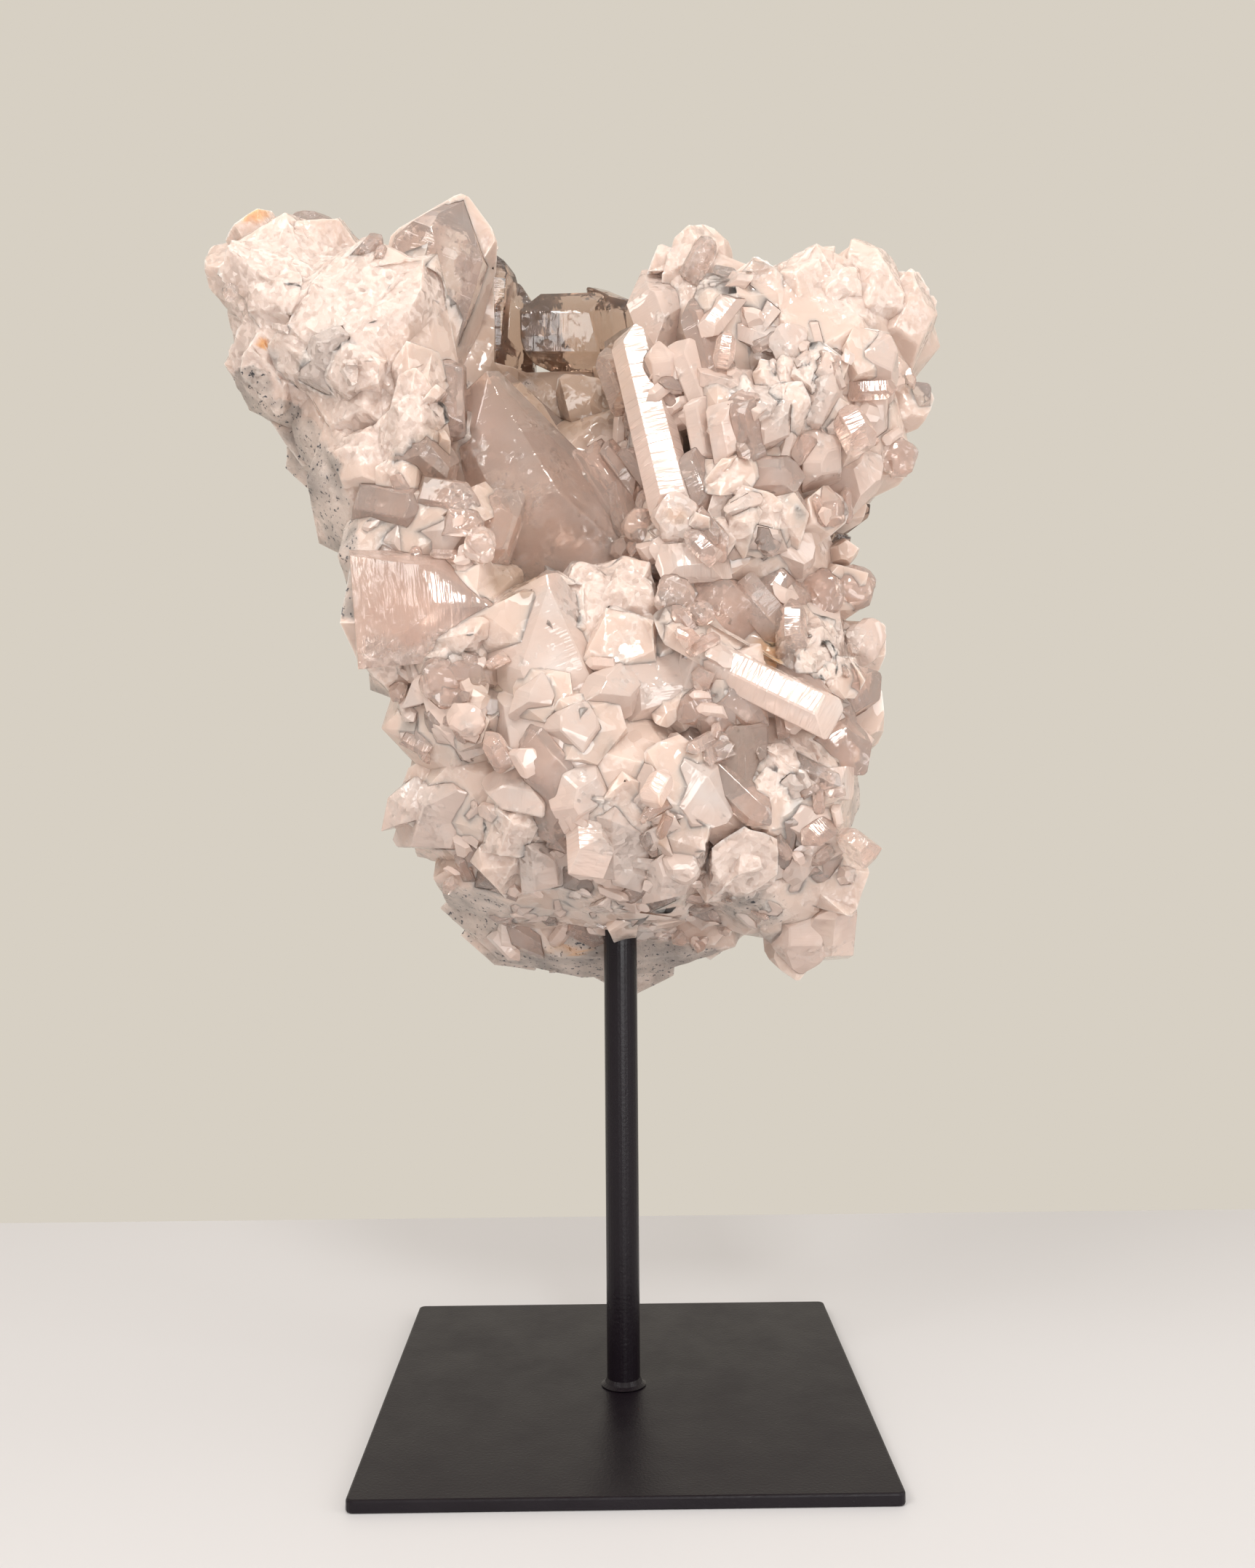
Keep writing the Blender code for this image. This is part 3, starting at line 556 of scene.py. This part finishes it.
class Front:
    """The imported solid's front as depths on a grid of sight lines, with its valleys filled."""

    def __init__(self, mesh):
        bm = bmesh.new()
        bm.from_mesh(mesh)
        self.tree = BVHTree.FromBMesh(bm)
        bm.free()
        self.depth = np.full((len(COLUMNS), len(ROWS)), np.nan)
        for i, x in enumerate(COLUMNS):
            for j, z in enumerate(ROWS):
                place = self.hit(x, z)
                if place:
                    self.depth[i, j] = place.y / MM
        self.inside = ~np.isnan(self.depth)
        cells = CLOSE // STEP
        near = over_disc(np.where(self.inside, self.depth, np.inf), np.minimum, cells)
        near = np.where(self.inside, near, -np.inf)
        level = over_disc(near, np.maximum, cells)
        level = np.where(self.inside, level, np.nan)
        for _ in range(10):
            level = self.averaged(level)
        self.level = level

    def averaged(self, level):
        """Smooths the level a little and lets it grow past the outline."""
        moved = [np.roll(level, shift, axis=axis) for axis in (0, 1) for shift in (-1, 1)]
        around = np.stack(moved + [level])
        known = ~np.isnan(around)
        total = np.where(known, around, 0).sum(axis=0)
        count = known.sum(axis=0)
        grown = np.where(count > 0, total / np.maximum(count, 1), np.nan)
        return grown

    def hit(self, x, z):
        place = self.tree.ray_cast(EYE, seen(x, z, 0) - EYE)[0]
        return place

    def level_at(self, x, z):
        i = min(max((x - COLUMNS[0]) / STEP, 0), len(COLUMNS) - 1.001)
        j = min(max((z - ROWS[0]) / STEP, 0), len(ROWS) - 1.001)
        a, b = int(i), int(j)
        corners = self.level[a:a + 2, b:b + 2]
        if np.isnan(corners).any():
            return 0.0
        u, v = i - a, j - b
        low = corners[0, 0] * (1 - u) + corners[1, 0] * u
        high = corners[0, 1] * (1 - u) + corners[1, 1] * u
        return low * (1 - v) + high * v

    def normal_at(self, x, z):
        across = (self.level_at(x + 3, z) - self.level_at(x - 3, z)) / 6
        up = (self.level_at(x, z + 3) - self.level_at(x, z - 3)) / 6
        return Vector((across, -1, up)).normalized()

    def is_inside(self, x, z):
        i = round((x - COLUMNS[0]) / STEP)
        j = round((z - ROWS[0]) / STEP)
        if 0 <= i < len(COLUMNS) and 0 <= j < len(ROWS):
            return bool(self.inside[i, j])
        return False

    def holds(self, bm):
        """Whether a body stays inside the outline that the eye sees."""
        return all(self.is_inside(*place_seen(vert.co)) for vert in bm.verts)


class Patches:
    """How much each place belongs to the given patches, from 0 to 1 or a little over."""

    def __init__(self, places):
        across = np.arange(COLUMNS[0], COLUMNS[-1] + 1)
        up = np.arange(ROWS[0], ROWS[-1] + 1)
        x, z = np.meshgrid(across, up, indexing="ij")
        self.most = np.zeros(x.shape)
        for px, pz, rx, rz, full in places:
            away = np.hypot((x - px) / rx, (z - pz) / rz)
            self.most = np.maximum(self.most, full * np.clip((1.25 - away) / 0.5, 0, 1))

    def at(self, x, z):
        i = min(max(round(x) - COLUMNS[0], 0), self.most.shape[0] - 1)
        j = min(max(round(z) - ROWS[0], 0), self.most.shape[1] - 1)
        return float(self.most[i, j])


FROSTED_PATCHES = Patches(FROST)
RECESS_TONE_AND_SHADE_PATCHES = Patches(RECESS_TONE_AND_SHADE)
ROCK_PATCHES = Patches(ROCK)
STAIN_PATCHES = Patches(STAINS)


def set_back(bm, front):
    """Moves what stands in front of the filled surface back along its sight line."""
    for vert in bm.verts:
        x, z = place_seen(vert.co)
        level = front.level_at(x, z) + SET_BACK
        if vert.co.y / MM < level and front.is_inside(x, z):
            vert.co = seen(x, z, level)


def glancing(place):
    """The way a face at a place looks when it mirrors the lamp to the eye."""
    return ((LAMP - place).normalized() + (EYE - place).normalized()).normalized()


def front_crystal(row, front, rng):
    x0, z0, x1, z1, width, thick, rise, turn, end, clear, shine = row
    half = width * thick / 2
    rise *= FROSTED_RISE if clear == FROSTED else RISE
    y0 = front.level_at(x0, z0) - rise + half
    y1 = front.level_at(x1, z1) - rise + half
    length = math.hypot(x1 - x0, z1 - z0)
    steep = max(-0.45, min(0.45, (y1 - y0) / length))
    middle = (y0 + y1) / 2
    mirror = glancing(seen((x0 + x1) / 2, (z0 + z1) / 2, middle - half))
    if shine:
        middle -= 1
        steep = -(mirror.x * (x1 - x0) + mirror.z * (z1 - z0)) / mirror.y / length
        steep = max(-0.4, min(0.4, steep))
    sunk = 0 if shine else length * FOOT_SUNK
    foot = seen(x0, z0, middle - steep * length / 2 + sunk)
    tip = seen(x1, z1, middle + steep * length / 2)
    foot -= (tip - foot).normalized() * FOOT_LONGER
    knocks = 2 if end == BROKEN else 0
    bm = quartz_point((tip - foot).length, width * WIDER * MM, thick, end, rng, knocks)
    ahead = Vector((0.12, -1, 0.1)) + any_way(rng) * 0.2
    facing = mirror if shine else ahead.normalized()
    set_along(bm, foot, tip, facing, math.radians(turn))
    mark(bm, (rng.random(), clear, shine, 1.0))
    return bm


def is_covered(x, z):
    """Whether a place lies on the face of one of the stated crystals."""
    for x0, z0, x1, z1, width in FACES:
        run = (x1 - x0) ** 2 + (z1 - z0) ** 2
        share = min(1.0, max(0.0, ((x - x0) * (x1 - x0) + (z - z0) * (z1 - z0)) / run))
        away = math.hypot(x - x0 - share * (x1 - x0), z - z0 - share * (z1 - z0))
        if away < width / 2 - 0.8:
            return True
    return False


def filling(front, step, size, sunk, share, least, greatest, rng):
    """Small crystals and lumps that fill the front between its rows: milky and clear ones."""
    made = ([], [])
    for x in np.arange(COLUMNS[0], COLUMNS[-1], step):
        for z in np.arange(ROWS[0], ROWS[-1], step):
            gx = x + rng.uniform(-0.5, 0.5) * step
            gz = z + rng.uniform(-0.5, 0.5) * step
            covered = is_covered(gx, gz) or RECESS_TONE_AND_SHADE_PATCHES.at(gx, gz) > 0.6
            covered = covered or ROCK_PATCHES.at(gx, gz) > 0.6
            covered = covered or not least <= FROSTED_PATCHES.at(gx, gz) <= greatest
            if covered or not front.is_inside(gx, gz) or rng.random() > share:
                continue
            across = rng.uniform(*size) * MM
            reach = Vector((across, across * rng.uniform(0.5, 1), across * rng.uniform(0.3, 0.5)))
            lean = (front.normal_at(gx, gz) + any_way(rng) * 0.2).normalized()
            top = front.level_at(gx, gz) + rng.uniform(*sunk)
            turn = lean.to_track_quat("Z", "Y").to_matrix()
            turn = turn @ Matrix.Rotation(rng.uniform(0, 6.28), 3, "Z")
            if rng.random() < 0.45:
                along = (turn @ Vector((1, 0, 0)) + lean * rng.uniform(0.1, 0.4)).normalized()
                foot = seen(gx, gz, top) - lean * across * 0.5 - along * across
                bm = quartz_point(across * 2.2, across * 0.8, 0.8, POINT, rng, 1)
                set_along(bm, foot, foot + along, lean, rng.uniform(-0.5, 0.5))
                chance, clearness = rng.random(), rng.uniform(0.3, 0.9)
                mark(bm, (chance, clearness, rng.random() * 0.5, 1.0))
            else:
                bm = shard(seen(gx, gz, top) - lean * reach.z, reach, turn, rng)
                chance, clearness = rng.random(), rng.uniform(0.4, 0.8)
                mark(bm, (chance, clearness, 0, 0))
            if front.holds(bm):
                made[clearness > SEEN_THROUGH].append(bm)
            else:
                bm.free()
    return made


def strewn(mesh, front, count, size, rng):
    """Small lumps over the sides, the back and the underside."""
    faces = [face for face in mesh.polygons if face.normal.y > -0.35]
    made = []
    for face in rng.choices(faces, weights=[face.area for face in faces], k=count):
        corners = [mesh.vertices[index].co for index in face.vertices]
        shares = [rng.uniform(0.05, 1) for _ in corners]
        point = sum((c * s for c, s in zip(corners, shares)), Vector()) / sum(shares)
        first = front.hit(*place_seen(point))
        if first and first.y > point.y - HIDDEN_BY:
            continue
        across = rng.uniform(*size) * MM
        reach = Vector((across, across * rng.uniform(0.6, 1), across * rng.uniform(0.3, 0.5)))
        lean = (face.normal + any_way(rng) * 0.3).normalized()
        turn = lean.to_track_quat("Z", "Y").to_matrix()
        turn = turn @ Matrix.Rotation(rng.uniform(0, 6.28), 3, "Z")
        bm = shard(point - lean * reach.z * rng.uniform(0.4, 0.8), reach, turn, rng)
        mark(bm, (rng.random(), rng.uniform(0.1, 0.5), 0, 0))
        if front.holds(bm):
            made.append(bm)
        else:
            bm.free()
    return made


# Fine relief and the look of each place


def looks_at(point, front):
    """Frost, rock, stain and recess darkening at a point of the surface, each from 0 to 1; the
    darkening is partly the quartz's own tone and partly painted shade.
    """
    x, z = place_seen(point)
    rough = noise.noise(point * 160) * 0.35 + noise.noise(point * 420) * 0.2
    hidden = point.y / MM - front.level_at(x, z) - BEHIND
    behind = min(1.0, max(0.0, (hidden + rough * 14) / 8))
    ahead = 1 - behind
    frost = uneven(FROSTED_PATCHES.at(x, z), rough) * ahead
    rock = max(uneven(ROCK_PATCHES.at(x, z), rough * 1.2), behind * (0.65 + rough))
    stain = uneven(STAIN_PATCHES.at(x, z), rough * 0.5) * ahead
    return frost, rock, stain, uneven(RECESS_TONE_AND_SHADE_PATCHES.at(x, z), rough * 0.4)


def uneven(share, rough):
    """A patch's share made uneven, but only where the patch is."""
    return max(0.0, min(1.0, share + rough * min(1.0, share * 3)))


def refine(bm, rounds, finest):
    """Halves long edges, to the finest ones where the surface is frosted."""
    bmesh.ops.triangulate(bm, faces=bm.faces)
    for _ in range(rounds):
        long = []
        for edge in bm.edges:
            length = edge.calc_length()
            if length < finest:
                continue
            middle = (edge.verts[0].co + edge.verts[1].co) / 2
            x, z = place_seen(middle)
            frosted = middle.y < 10 * MM and FROSTED_PATCHES.at(x, z) > 0.3
            if length > (finest if frosted else PLAIN_EDGE):
                long.append(edge)
        if not long:
            return
        bmesh.ops.subdivide_edges(bm, edges=long, cuts=1)
        bmesh.ops.triangulate(bm, faces=[face for face in bm.faces if len(face.verts) > 3])


def facet_step(point, size):
    """The height of small flat facets that lean at random, one to each cell round a point."""
    distances, places = noise.voronoi(point / size)
    cell = places[0]
    lean = noise.noise_vector(cell * 3.7)
    return (point / size - cell).dot(lean) * size


def roughen(bm, front):
    """Breaks up the frosted places and lets the rest wave a little."""
    bm.normal_update()
    moves = []
    for vert in bm.verts:
        frost, rock, _, _ = looks_at(vert.co, front)
        fine = noise.noise(vert.co * 900) * 0.10 * MM
        broken = facet_step(vert.co, 2.6 * MM) * 0.55 + facet_step(vert.co, 1.3 * MM) * 0.35
        lumps = noise.noise(vert.co * 330) * 0.35 * MM
        amount = frost * (broken + fine) + rock * (lumps + fine) + fine * 0.06
        moves.append(vert.normal * max(-0.8 * MM, min(0.8 * MM, amount)))
    for vert, move in zip(bm.verts, moves):
        vert.co += move


def cluster():
    """The milky mass, and the clear and the smoky crystals that stand in it."""
    rng = random.Random(5)
    bm = bmesh.new()
    bm.from_mesh(frame["nodes"]["quartz_cluster"].data)
    bmesh.ops.remove_doubles(bm, verts=bm.verts, dist=1e-7)
    solid = bpy.data.meshes.new("solid")
    bm.to_mesh(solid)
    front = Front(solid)
    set_back(bm, front)
    mark(bm, (0.5, 0.4, 0.0, 0.0))
    mass = object_from(bm, "milky_quartz")

    rough = strewn(solid, front, 300, (4, 9), rng)
    milky = []
    clear = [own_crystal(row, rng) for row in CLEAR_CRYSTALS]
    smoky = [own_crystal(row, rng) for row in SMOKY_CRYSTALS]
    for row in CRYSTALS:
        kind = clear if row[9] > SEEN_THROUGH else milky
        kind = rough if row[9] == FROSTED else kind
        kind.append(front_crystal(row, front, rng))
    for x, z, radius, rise, clearness in KNOBS:
        depth = front.level_at(x, z) - rise + radius
        body = knob(seen(x, z, depth), radius * MM, rng)
        mark(body, (rng.random(), clearness, 0, 0.5))
        kind = clear if clearness > SEEN_THROUGH else milky
        kind.append(body)
    for row in FILLINGS:
        more_milky, more_clear = filling(front, *row, rng)
        milky += more_milky
        clear += more_clear

    # Each piece has room for the ones after it, so that none overlap
    joined(mass, rough)
    joined(mass, [roomy(body) for body in milky + clear + smoky] + [rim_room()], "DIFFERENCE")
    cloudy_piece = own_piece("milky_crystals", milky, clear + smoky)
    clear_piece = own_piece("clear_crystals", clear, smoky)
    smoky_piece = own_piece("smoky_crystals", smoky, [])
    for piece in (mass, cloudy_piece, clear_piece, smoky_piece):
        refine_piece(piece, front)
        stay_in_box(piece)
        write_looks(piece, front)
    finish(mass, milky_material())
    finish(cloudy_piece, clear_material("cloudy_quartz", 0.45, PINK, 8.0))
    finish(clear_piece, clear_material("clear_quartz", 0.75, PINK, 8.0))
    finish(smoky_piece, clear_material("smoky_quartz", 0.94, BROWN, 60.0))


def own_piece(name, bodies, others):
    """Joins bodies to one piece with room for others."""
    piece = object_from(bodies[0].copy(), name)
    joined(piece, [body.copy() for body in bodies[1:]])
    if others:
        joined(piece, [roomy(body) for body in others], "DIFFERENCE")
    return piece


def refine_piece(piece, front):
    is_mass = piece.name == "milky_quartz"
    bm = bmesh.new()
    bm.from_mesh(piece.data)
    bmesh.ops.remove_doubles(bm, verts=bm.verts, dist=1e-7)
    refine(bm, 4, FINE_EDGE if is_mass else PLAIN_EDGE)
    if is_mass:
        roughen(bm, front)
    bm.to_mesh(piece.data)
    bm.free()
    piece.data.validate()


def write_looks(piece, front):
    """Writes the look of each place on a piece: its frost, rock, stain, and recess darkening that is
    partly own tone and partly painted shade.
    """
    look = piece.data.attributes.new("look", "FLOAT_COLOR", "POINT")
    values = [share for vert in piece.data.vertices for share in looks_at(vert.co, front)]
    look.data.foreach_set("color", values)


def stay_in_box(piece):
    low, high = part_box("quartz_cluster")
    for vert in piece.data.vertices:
        for axis in range(3):
            vert.co[axis] = min(max(vert.co[axis], low[axis]), high[axis])


def finish(piece, material):
    piece.data.materials.clear()
    piece.data.materials.append(material)
    piece.data.shade_smooth()
    piece.data.set_sharp_from_angle(angle=math.radians(16))
    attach(piece, "root")
    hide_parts("quartz_cluster")


def rim_room():
    """The part of the rim that the smoky crystals take the place of."""
    bm = bmesh.new()
    bmesh.ops.create_cube(bm, size=1)
    size = Vector([(b - a) * MM for a, b in RIM])
    middle = Vector([(a + b) / 2 * MM for a, b in RIM])
    bmesh.ops.scale(bm, vec=size, verts=bm.verts)
    bmesh.ops.translate(bm, vec=middle, verts=bm.verts)
    mark(bm, (0.5, 0.4, 0.0, 0.0))
    return bm


def own_crystal(row, rng):
    x0, z0, y0, x1, z1, y1, width, thick, turn, end, knocks = row
    foot = seen(x0, z0, y0)
    tip = seen(x1, z1, y1)
    bm = quartz_point((tip - foot).length, width * MM, thick, end, rng, knocks)
    set_along(bm, foot, tip, Vector((0.12, -1, 0.1)), math.radians(turn))
    mark(bm, (rng.random(), 1.0, 0.0, 1.0))
    return bm


# Materials

PINK = (0.90, 0.73, 0.63, 1)
BROWN = (0.58, 0.45, 0.34, 1)


class Nodes:
    """A material's node tree with short calls."""

    def __init__(self, name):
        self.material = bpy.data.materials.new(name)
        self.material.use_nodes = True
        self.tree = self.material.node_tree
        self.shader = self.tree.nodes["Principled BSDF"]

    def add(self, kind, inputs=None, **settings):
        made = self.tree.nodes.new("ShaderNode" + kind)
        for key, value in settings.items():
            setattr(made, key, value)
        for key, value in (inputs or {}).items():
            self.put(made.inputs[key], value)
        return made

    def put(self, socket, value):
        if isinstance(value, bpy.types.NodeSocket):
            self.tree.links.new(value, socket)
        else:
            socket.default_value = value

    def math(self, operation, a, b=0.0):
        made = self.add("Math", {0: a, 1: b}, operation=operation, use_clamp=False)
        return made.outputs[0]

    def vector(self, operation, a, b=(0, 0, 0), scale=1.0):
        if operation == "SCALE":
            return self.add("VectorMath", {0: a, "Scale": scale}, operation=operation).outputs[0]
        return self.add("VectorMath", {0: a, 1: b}, operation=operation).outputs[0]

    def between(self, value, low, high, start=0.0, end=1.0):
        inputs = {"Value": value, "From Min": low, "From Max": high, "To Min": start, "To Max": end}
        return self.add("MapRange", inputs).outputs[0]

    def mix(self, share, a, b):
        made = self.add("Mix", {0: share, 6: a, 7: b}, data_type="RGBA")
        return made.outputs[2]

    def noise(self, place, scale, detail=2.0, roughness=0.5):
        inputs = {"Vector": place, "Scale": scale, "Detail": detail, "Roughness": roughness}
        return self.add("TexNoise", inputs).outputs["Fac"]

    def set(self, **values):
        for key, value in values.items():
            self.put(self.shader.inputs[key.replace("_", " ")], value)


class QuartzNodes(Nodes):
    """A quartz material's values that vary from place to place."""

    def __init__(self, name):
        super().__init__(name)
        self.place = self.add("TexCoord").outputs["Object"]
        look = self.add("Attribute", attribute_name="look")
        looks = self.add("SeparateColor", {0: look.outputs["Color"]})
        self.rock, self.stain = looks.outputs[1], looks.outputs[2]
        # The look's alpha darkens recesses: partly the quartz's own tone, partly painted shade.
        self.shade_and_tone = look.outputs["Alpha"]
        nature = self.add("Attribute", attribute_name="nature")
        natures = self.add("SeparateColor", {0: nature.outputs["Color"]})
        self.shine = natures.outputs[2]
        self.crystal = nature.outputs["Alpha"]
        self.cloud = self.noise(self.place, 90, 3, 0.6)
        self.fine = self.noise(self.place, 620, 3, 0.7)
        self.veil = self.between(self.noise(self.place, 75, 3, 0.55), 0.50, 0.72)
        flaky = self.between(self.noise(self.place, 130, 3, 0.6), 0.49, 0.64, 0, 0.7)
        flaky = self.math("SUBTRACT", flaky, self.shine)
        broken = self.math("MAXIMUM", looks.outputs[0], flaky)
        broken = self.math("ADD", broken, self.between(self.fine, 0.3, 0.7, -0.5, 0.2))
        self.frosty = self.between(broken, 0.15, 0.75)

    def rust_on(self, colour):
        rust = self.mix(self.fine, (0.55, 0.22, 0.06, 1), (0.80, 0.48, 0.22, 1))
        return self.mix(self.between(self.stain, 0.2, 0.9, 0, 0.85), colour, rust)

    def haze(self, tint, density):
        haze = self.add("VolumeAbsorption", {"Color": tint, "Density": density})
        self.put(self.tree.nodes["Material Output"].inputs["Volume"], haze.outputs[0])


def milky_material():
    """The milky mass, frosted where it is broken, with grey rock at its edges."""
    made = QuartzNodes("milky_quartz")
    colour = made.mix(made.cloud, (0.60, 0.46, 0.39, 1), (0.68, 0.55, 0.48, 1))
    colour = made.mix(made.between(made.frosty, 0, 1, 0, 0.9), colour, (0.70, 0.58, 0.52, 1))
    # Painted shade: recesses darkened to brown, partly the quartz's own smoky tone.
    colour = made.mix(made.math("MULTIPLY", made.shade_and_tone, 0.9), colour, (0.38, 0.27, 0.20, 1))
    speck = made.noise(made.place, 900, 2, 0.6)
    grey = made.between(made.cloud, 0.35, 0.6)
    grey = made.mix(grey, (0.36, 0.31, 0.28, 1), (0.62, 0.52, 0.46, 1))
    grey = made.mix(made.between(speck, 0.60, 0.68), grey, (0.05, 0.05, 0.06, 1))
    colour = made.mix(made.between(made.rock, 0.25, 0.6), colour, grey)
    rough = made.between(made.frosty, 0, 1, 0.08, 0.2)
    rough = made.math("ADD", rough, made.between(made.rock, 0.1, 0.7, 0.0, 0.4))
    made.set(
        Base_Color=made.rust_on(colour),
        Roughness=rough,
        IOR=1.544,
        Subsurface_Weight=1.0,
        Subsurface_Radius=(1.0, 1.0, 1.0),
        Subsurface_Scale=0.0025,
        Normal=quartz_normal(made, made.rock, 0.35),
    )
    return made.material


def clear_material(name, through, tint, density):
    """See-through quartz with white veils and flaky places."""
    made = QuartzNodes(name)
    colour = made.mix(made.cloud, (0.92, 0.71, 0.61, 1), (0.95, 0.79, 0.71, 1))
    colour = made.mix(made.veil, colour, (0.97, 0.86, 0.80, 1))
    colour = made.mix(made.frosty, colour, (0.88, 0.75, 0.68, 1))
    # Painted shade: recesses darkened, partly the quartz's own tone.
    colour = made.mix(made.math("MULTIPLY", made.shade_and_tone, 0.6), colour, (0.82, 0.64, 0.52, 1))
    rough = made.between(made.fine, 0.45, 0.75, 0.02, 0.12)
    made.set(
        Base_Color=made.rust_on(colour),
        Roughness=made.math("ADD", rough, made.between(made.frosty, 0, 1, 0, 0.12)),
        IOR=1.544,
        Specular_IOR_Level=0.7,
        Transmission_Weight=through,
        Normal=quartz_normal(made, 0.0, 0.17),
    )
    made.haze(tint, density)
    return made.material


def quartz_normal(made, rock, calm):
    """Glints from small leaning facets, striations across the crystals, and grain."""
    bent = made.add("TexNoise", {"Vector": made.place, "Scale": 260.0, "Detail": 1.0})
    bent = made.vector("SUBTRACT", bent.outputs["Color"], (0.5, 0.5, 0.5))
    bent = made.vector("ADD", made.place, made.vector("SCALE", bent, scale=0.004))
    normal = made.add("NewGeometry").outputs["Normal"]
    calm = made.math("MULTIPLY", made.between(made.shine, 0, 1, 1, 0.1), calm)
    for scale, least, most in ((800.0, 0.1, 0.9), (230.0, 1.0, 0.3)):
        cells = made.add("TexVoronoi", {"Vector": bent, "Scale": scale}).outputs["Color"]
        lean = made.vector("SUBTRACT", cells, (0.5, 0.5, 0.5))
        amount = made.between(made.frosty, 0, 1, made.math("MULTIPLY", calm, least), most)
        normal = made.vector("ADD", normal, made.vector("SCALE", lean, scale=amount))
    normal = made.vector("NORMALIZE", normal)

    along = made.add("Attribute", attribute_name="course").outputs["Vector"]
    stretched = made.vector("MULTIPLY", along, (0.06, 0.55, 1))
    steps = made.between(made.noise(stretched, 1.0, 2, 0.6), 0.44, 0.56)
    strength = made.math("MULTIPLY", made.crystal, made.between(made.shine, 0, 1, 0.1, 0.35))
    bump = made.add(
        "Bump", {"Strength": strength, "Distance": 0.0003, "Height": steps, "Normal": normal}
    )
    grain = made.noise(made.place, 1500, 3, 0.7)
    amount = made.math("MULTIPLY", made.frosty, 0.2)
    amount = made.math("ADD", made.between(rock, 0, 1, 0.03, 0.6), amount)
    grained = made.add(
        "Bump",
        {"Strength": amount, "Distance": 0.0006, "Height": grain, "Normal": bump.outputs[0]},
    )
    return grained.outputs[0]


def coated_steel(name, roughness):
    """Satin black powder coat, with its fine orange peel and a few specks."""
    made = Nodes(name)
    place = made.add("TexCoord").outputs["Object"]
    peel = made.noise(place, 1400, 2, 0.5)
    specks = made.add("TexVoronoi", {"Vector": place, "Scale": 420.0}).outputs["Distance"]
    raised = made.between(specks, 0.10, 0.04)
    height = made.math("ADD", peel, made.math("MULTIPLY", raised, 1.5))
    bump = made.add("Bump", {"Strength": 0.18, "Distance": 0.0003, "Height": height})
    dust = made.noise(place, 60, 4, 0.65)
    made.set(
        Base_Color=made.mix(dust, (0.004, 0.002, 0.004, 1), (0.009, 0.006, 0.009, 1)),
        Roughness=made.between(dust, 0.3, 0.7, roughness - 0.05, roughness + 0.07),
        Specular_IOR_Level=0.25,
        Normal=bump.outputs[0],
    )
    return made.material


def dress(node, material):
    obj = frame["nodes"][node]
    obj.data.materials.clear()
    obj.data.materials.append(material)


# Stage, light and camera


def floor():
    bm = bmesh.new()
    bmesh.ops.create_grid(bm, x_segments=1, y_segments=1, size=1)
    made = Nodes("pale_floor")
    made.set(Base_Color=(0.67, 0.66, 0.67, 1), Roughness=0.5)
    piece = object_from(bm, "floor", made.material)
    piece.scale = (0.9, 0.475, 1)
    piece.location = (0, -0.32, 0)


def area(name, place, aim, size, energy, colour=(1, 1, 1)):
    data = bpy.data.lights.new(name, "AREA")
    data.shape = "RECTANGLE"
    data.size, data.size_y = size
    data.energy = energy
    data.color = colour
    lamp = bpy.data.objects.new(name, data)
    bpy.context.scene.collection.objects.link(lamp)
    lamp.location = place
    lamp.rotation_euler = (Vector(aim) - Vector(place)).to_track_quat("-Z", "Y").to_euler()


def light():
    """A pale room, brighter behind the object, with a window at the upper left."""
    world = bpy.data.worlds.new("room")
    bpy.context.scene.world = world
    world.use_nodes = True
    tree = world.node_tree
    back = tree.nodes["Background"]
    way = tree.nodes.new("ShaderNodeTexCoord").outputs["Generated"]
    parts = tree.nodes.new("ShaderNodeSeparateXYZ")
    tree.links.new(way, parts.inputs[0])
    ramp = tree.nodes.new("ShaderNodeMapRange")
    tree.links.new(parts.outputs["Y"], ramp.inputs["Value"])
    ramp.inputs["From Min"].default_value = -0.5
    ramp.inputs["From Max"].default_value = 0.6
    mix = tree.nodes.new("ShaderNodeMix")
    mix.data_type = "RGBA"
    tree.links.new(ramp.outputs[0], mix.inputs[0])
    mix.inputs[6].default_value = (0.62, 0.57, 0.52, 1)
    mix.inputs[7].default_value = (0.68, 0.63, 0.55, 1)
    tree.links.new(mix.outputs[2], back.inputs["Color"])
    area("window", WINDOW, AIM, (0.42, 0.42), 3.5, (1.0, 0.98, 0.96))
    area("lamp", LAMP, AIM, (0.17, 0.17), 2.8, (1.0, 0.99, 0.97))
    area("ceiling", (0.05, -0.1, 0.95), AIM, (0.7, 0.3), 0.9)
    area("right", (0.7, -0.35, 0.35), AIM, (0.25, 0.5), 1.2)
    area("front", (0.2, -0.75, 0.08), AIM, (0.5, 0.25), 2.4)
    bpy.context.scene.view_settings.view_transform = "Standard"


def camera():
    turn = Matrix.Rotation(YAW, 3, "Z")
    ahead = turn @ Vector((0, math.cos(PITCH), -math.sin(PITCH)))
    up = turn @ Vector((0, math.sin(PITCH), math.cos(PITCH)))
    right = turn @ Vector((1, 0, 0))
    cr, sr = math.cos(ROLL), math.sin(ROLL)
    right, up = cr * right + sr * up, cr * up - sr * right
    data = bpy.data.cameras.new("camera")
    data.lens = LENS
    data.sensor_width = SENSOR
    data.clip_start = 0.01
    made = bpy.data.objects.new("camera", data)
    bpy.context.scene.collection.objects.link(made)
    axes = Matrix((right, up, -ahead)).transposed().to_4x4()
    made.matrix_world = Matrix.Translation(EYE) @ axes
    bpy.context.scene.camera = made


camera()
light()
floor()
dress("base_plate", coated_steel("plate_coat", 0.36))
dress("rod", coated_steel("rod_coat", 0.30))
cluster()
